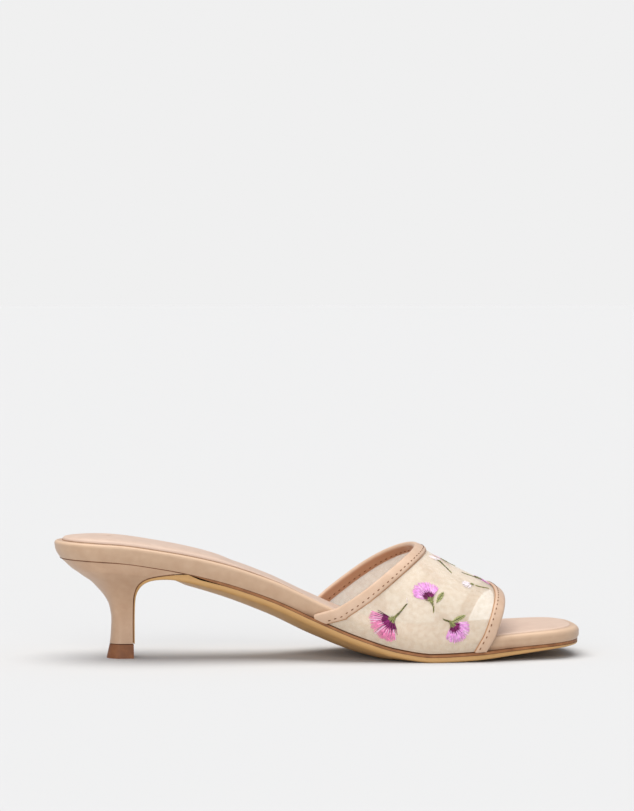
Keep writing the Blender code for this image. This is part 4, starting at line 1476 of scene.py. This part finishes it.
dress(makeFootbed(), ["footbed"], bandLeather)
sock = dress(makeSock(), ["insole"], sockLeather)
dress(makeMidsole(), ["midsole"], midsoleEdge)
dress(makeOutsole(), ["outsole"], outsoleLeather)
dress(makeHeel(), ["heel"], heelLeather)
dress(makeTopPiece(), ["top_piece"], topPieceRubber)
print("sole, footbed and heel: made")
dress(makeVamp(), ["upper"], sheerMesh)
dress(makeBinding("collarBinding", collarEdge, 1, vampSizes["collarWidth"]), ["collar_binding"],
      bindingLeather)
dress(makeBinding("toeBinding", toeEdge, -1, vampSizes["toeWidth"]), ["toe_binding"],
      bindingLeather)
print("vamp and bindings: made")

# this dark brown is painted shadow under the band and the midsole, and the dark line along the heel's
# flap
seamAndShadowBrown = leather("seamAndShadowBrown", srgb(112, 70, 40), srgb(96, 58, 32), srgb(128, 84, 50), 0.6, 0.0)
# this tan is painted shadow in the gap at the sock's edge
sockGapShadowTan = leather("sockGapShadowTan", srgb(160, 118, 88), srgb(146, 104, 76), srgb(172, 130, 98),
                      0.6, 0.0)
# a brown line drawn where each binding's leg ends on the mesh
legEndBrown = leather("legEndBrown", srgb(176, 124, 80), srgb(160, 108, 66), srgb(190, 138, 92), 0.5, 0.0)
# painted shade: the stitch dashes are dark brown for the shaded needle holes; the thread itself is
# beige
stitchHoleShade = silkThread("stitchHoleShade", srgb(120, 78, 48))


def addSewn(name, lines, treeName, values):
    piece = runTree(name, lines, treeName, values)
    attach(piece, "root")
    return piece


def threadValues(radius, finish, sides=6):
    return {"Thread Radius": radius, "Sides": sides, "Finish": finish}


addSewn("bandShadowLine", bandShadowLines(), "threads", threadValues(seamLook["underBand"], seamAndShadowBrown))
addSewn("sockGapShadowLine", sockGapShadowLines(), "threads", threadValues(seamLook["sock"], sockGapShadowTan))
addSewn("flapSeam", flapSeams(), "threads", threadValues(seamLook["flap"], seamAndShadowBrown))
bindings = (
    ("collar", collarEdge, 1, vampSizes["collarWidth"], 0.64),
    ("toe", toeEdge, -1, vampSizes["toeWidth"], 0.70),
)
stitchLook = {"pitch": 0.0030, "length": 0.00145, "radius": 0.00027, "skirtFree": 0.03}
for label, edge, sign, width, share in bindings:
    outside = shoe["gap"] + vampSizes["binding"] + 0.00012
    inside = -(vampSizes["wall"] + shoe["gap"] + vampSizes["binding"])
    free = stitchLook["skirtFree"]
    lines = [bindingLine(edge, sign, width, share, outside, free, 1 - free),
             bindingLine(edge, sign, width, share, inside, free, 1 - free)]
    values = {"Pitch": stitchLook["pitch"], "Stitch Length": stitchLook["length"],
              "Thread Radius": stitchLook["radius"], "Seed": 7, "Finish": stitchHoleShade}
    addSewn(label + "Stitches", lines, "stitches", values)
    legEndLine = bindingLine(edge, sign, width, 1.02, shoe["gap"])
    addSewn(label + "EdgeLine", [legEndLine], "threads", threadValues(seamLook["bindingEdge"], legEndBrown))
print("seams and stitches: sewn")

threadColours = {
    "rosePink": srgb(240, 140, 185),
    "lilacPink": srgb(232, 160, 222),
    "palePink": srgb(246, 205, 228),
    "thistlePurple": srgb(140, 35, 108),
    "deepPlum": srgb(88, 12, 62),
    "mossGreen": srgb(138, 138, 82),
    "leafGreen": srgb(170, 176, 112),
    "paleGreen": srgb(200, 202, 150),
    "darkStem": srgb(88, 84, 52),
    "blossomWhite": srgb(242, 228, 232),
}
threads = {name: [] for name in threadColours}
rng = random.Random(20)
for flower in flowers:
    sewFlower(flower, threads, rng)
for name, colour in threadColours.items():
    addSewn(name + "Threads", threads[name], "threads",
            threadValues(threadLook["radius"], silkThread(name, colour), threadLook["sides"]))
print("embroidery: " + str(sum(len(lines) for lines in threads.values())) + " threads")

addStage()
print("studio: lit")
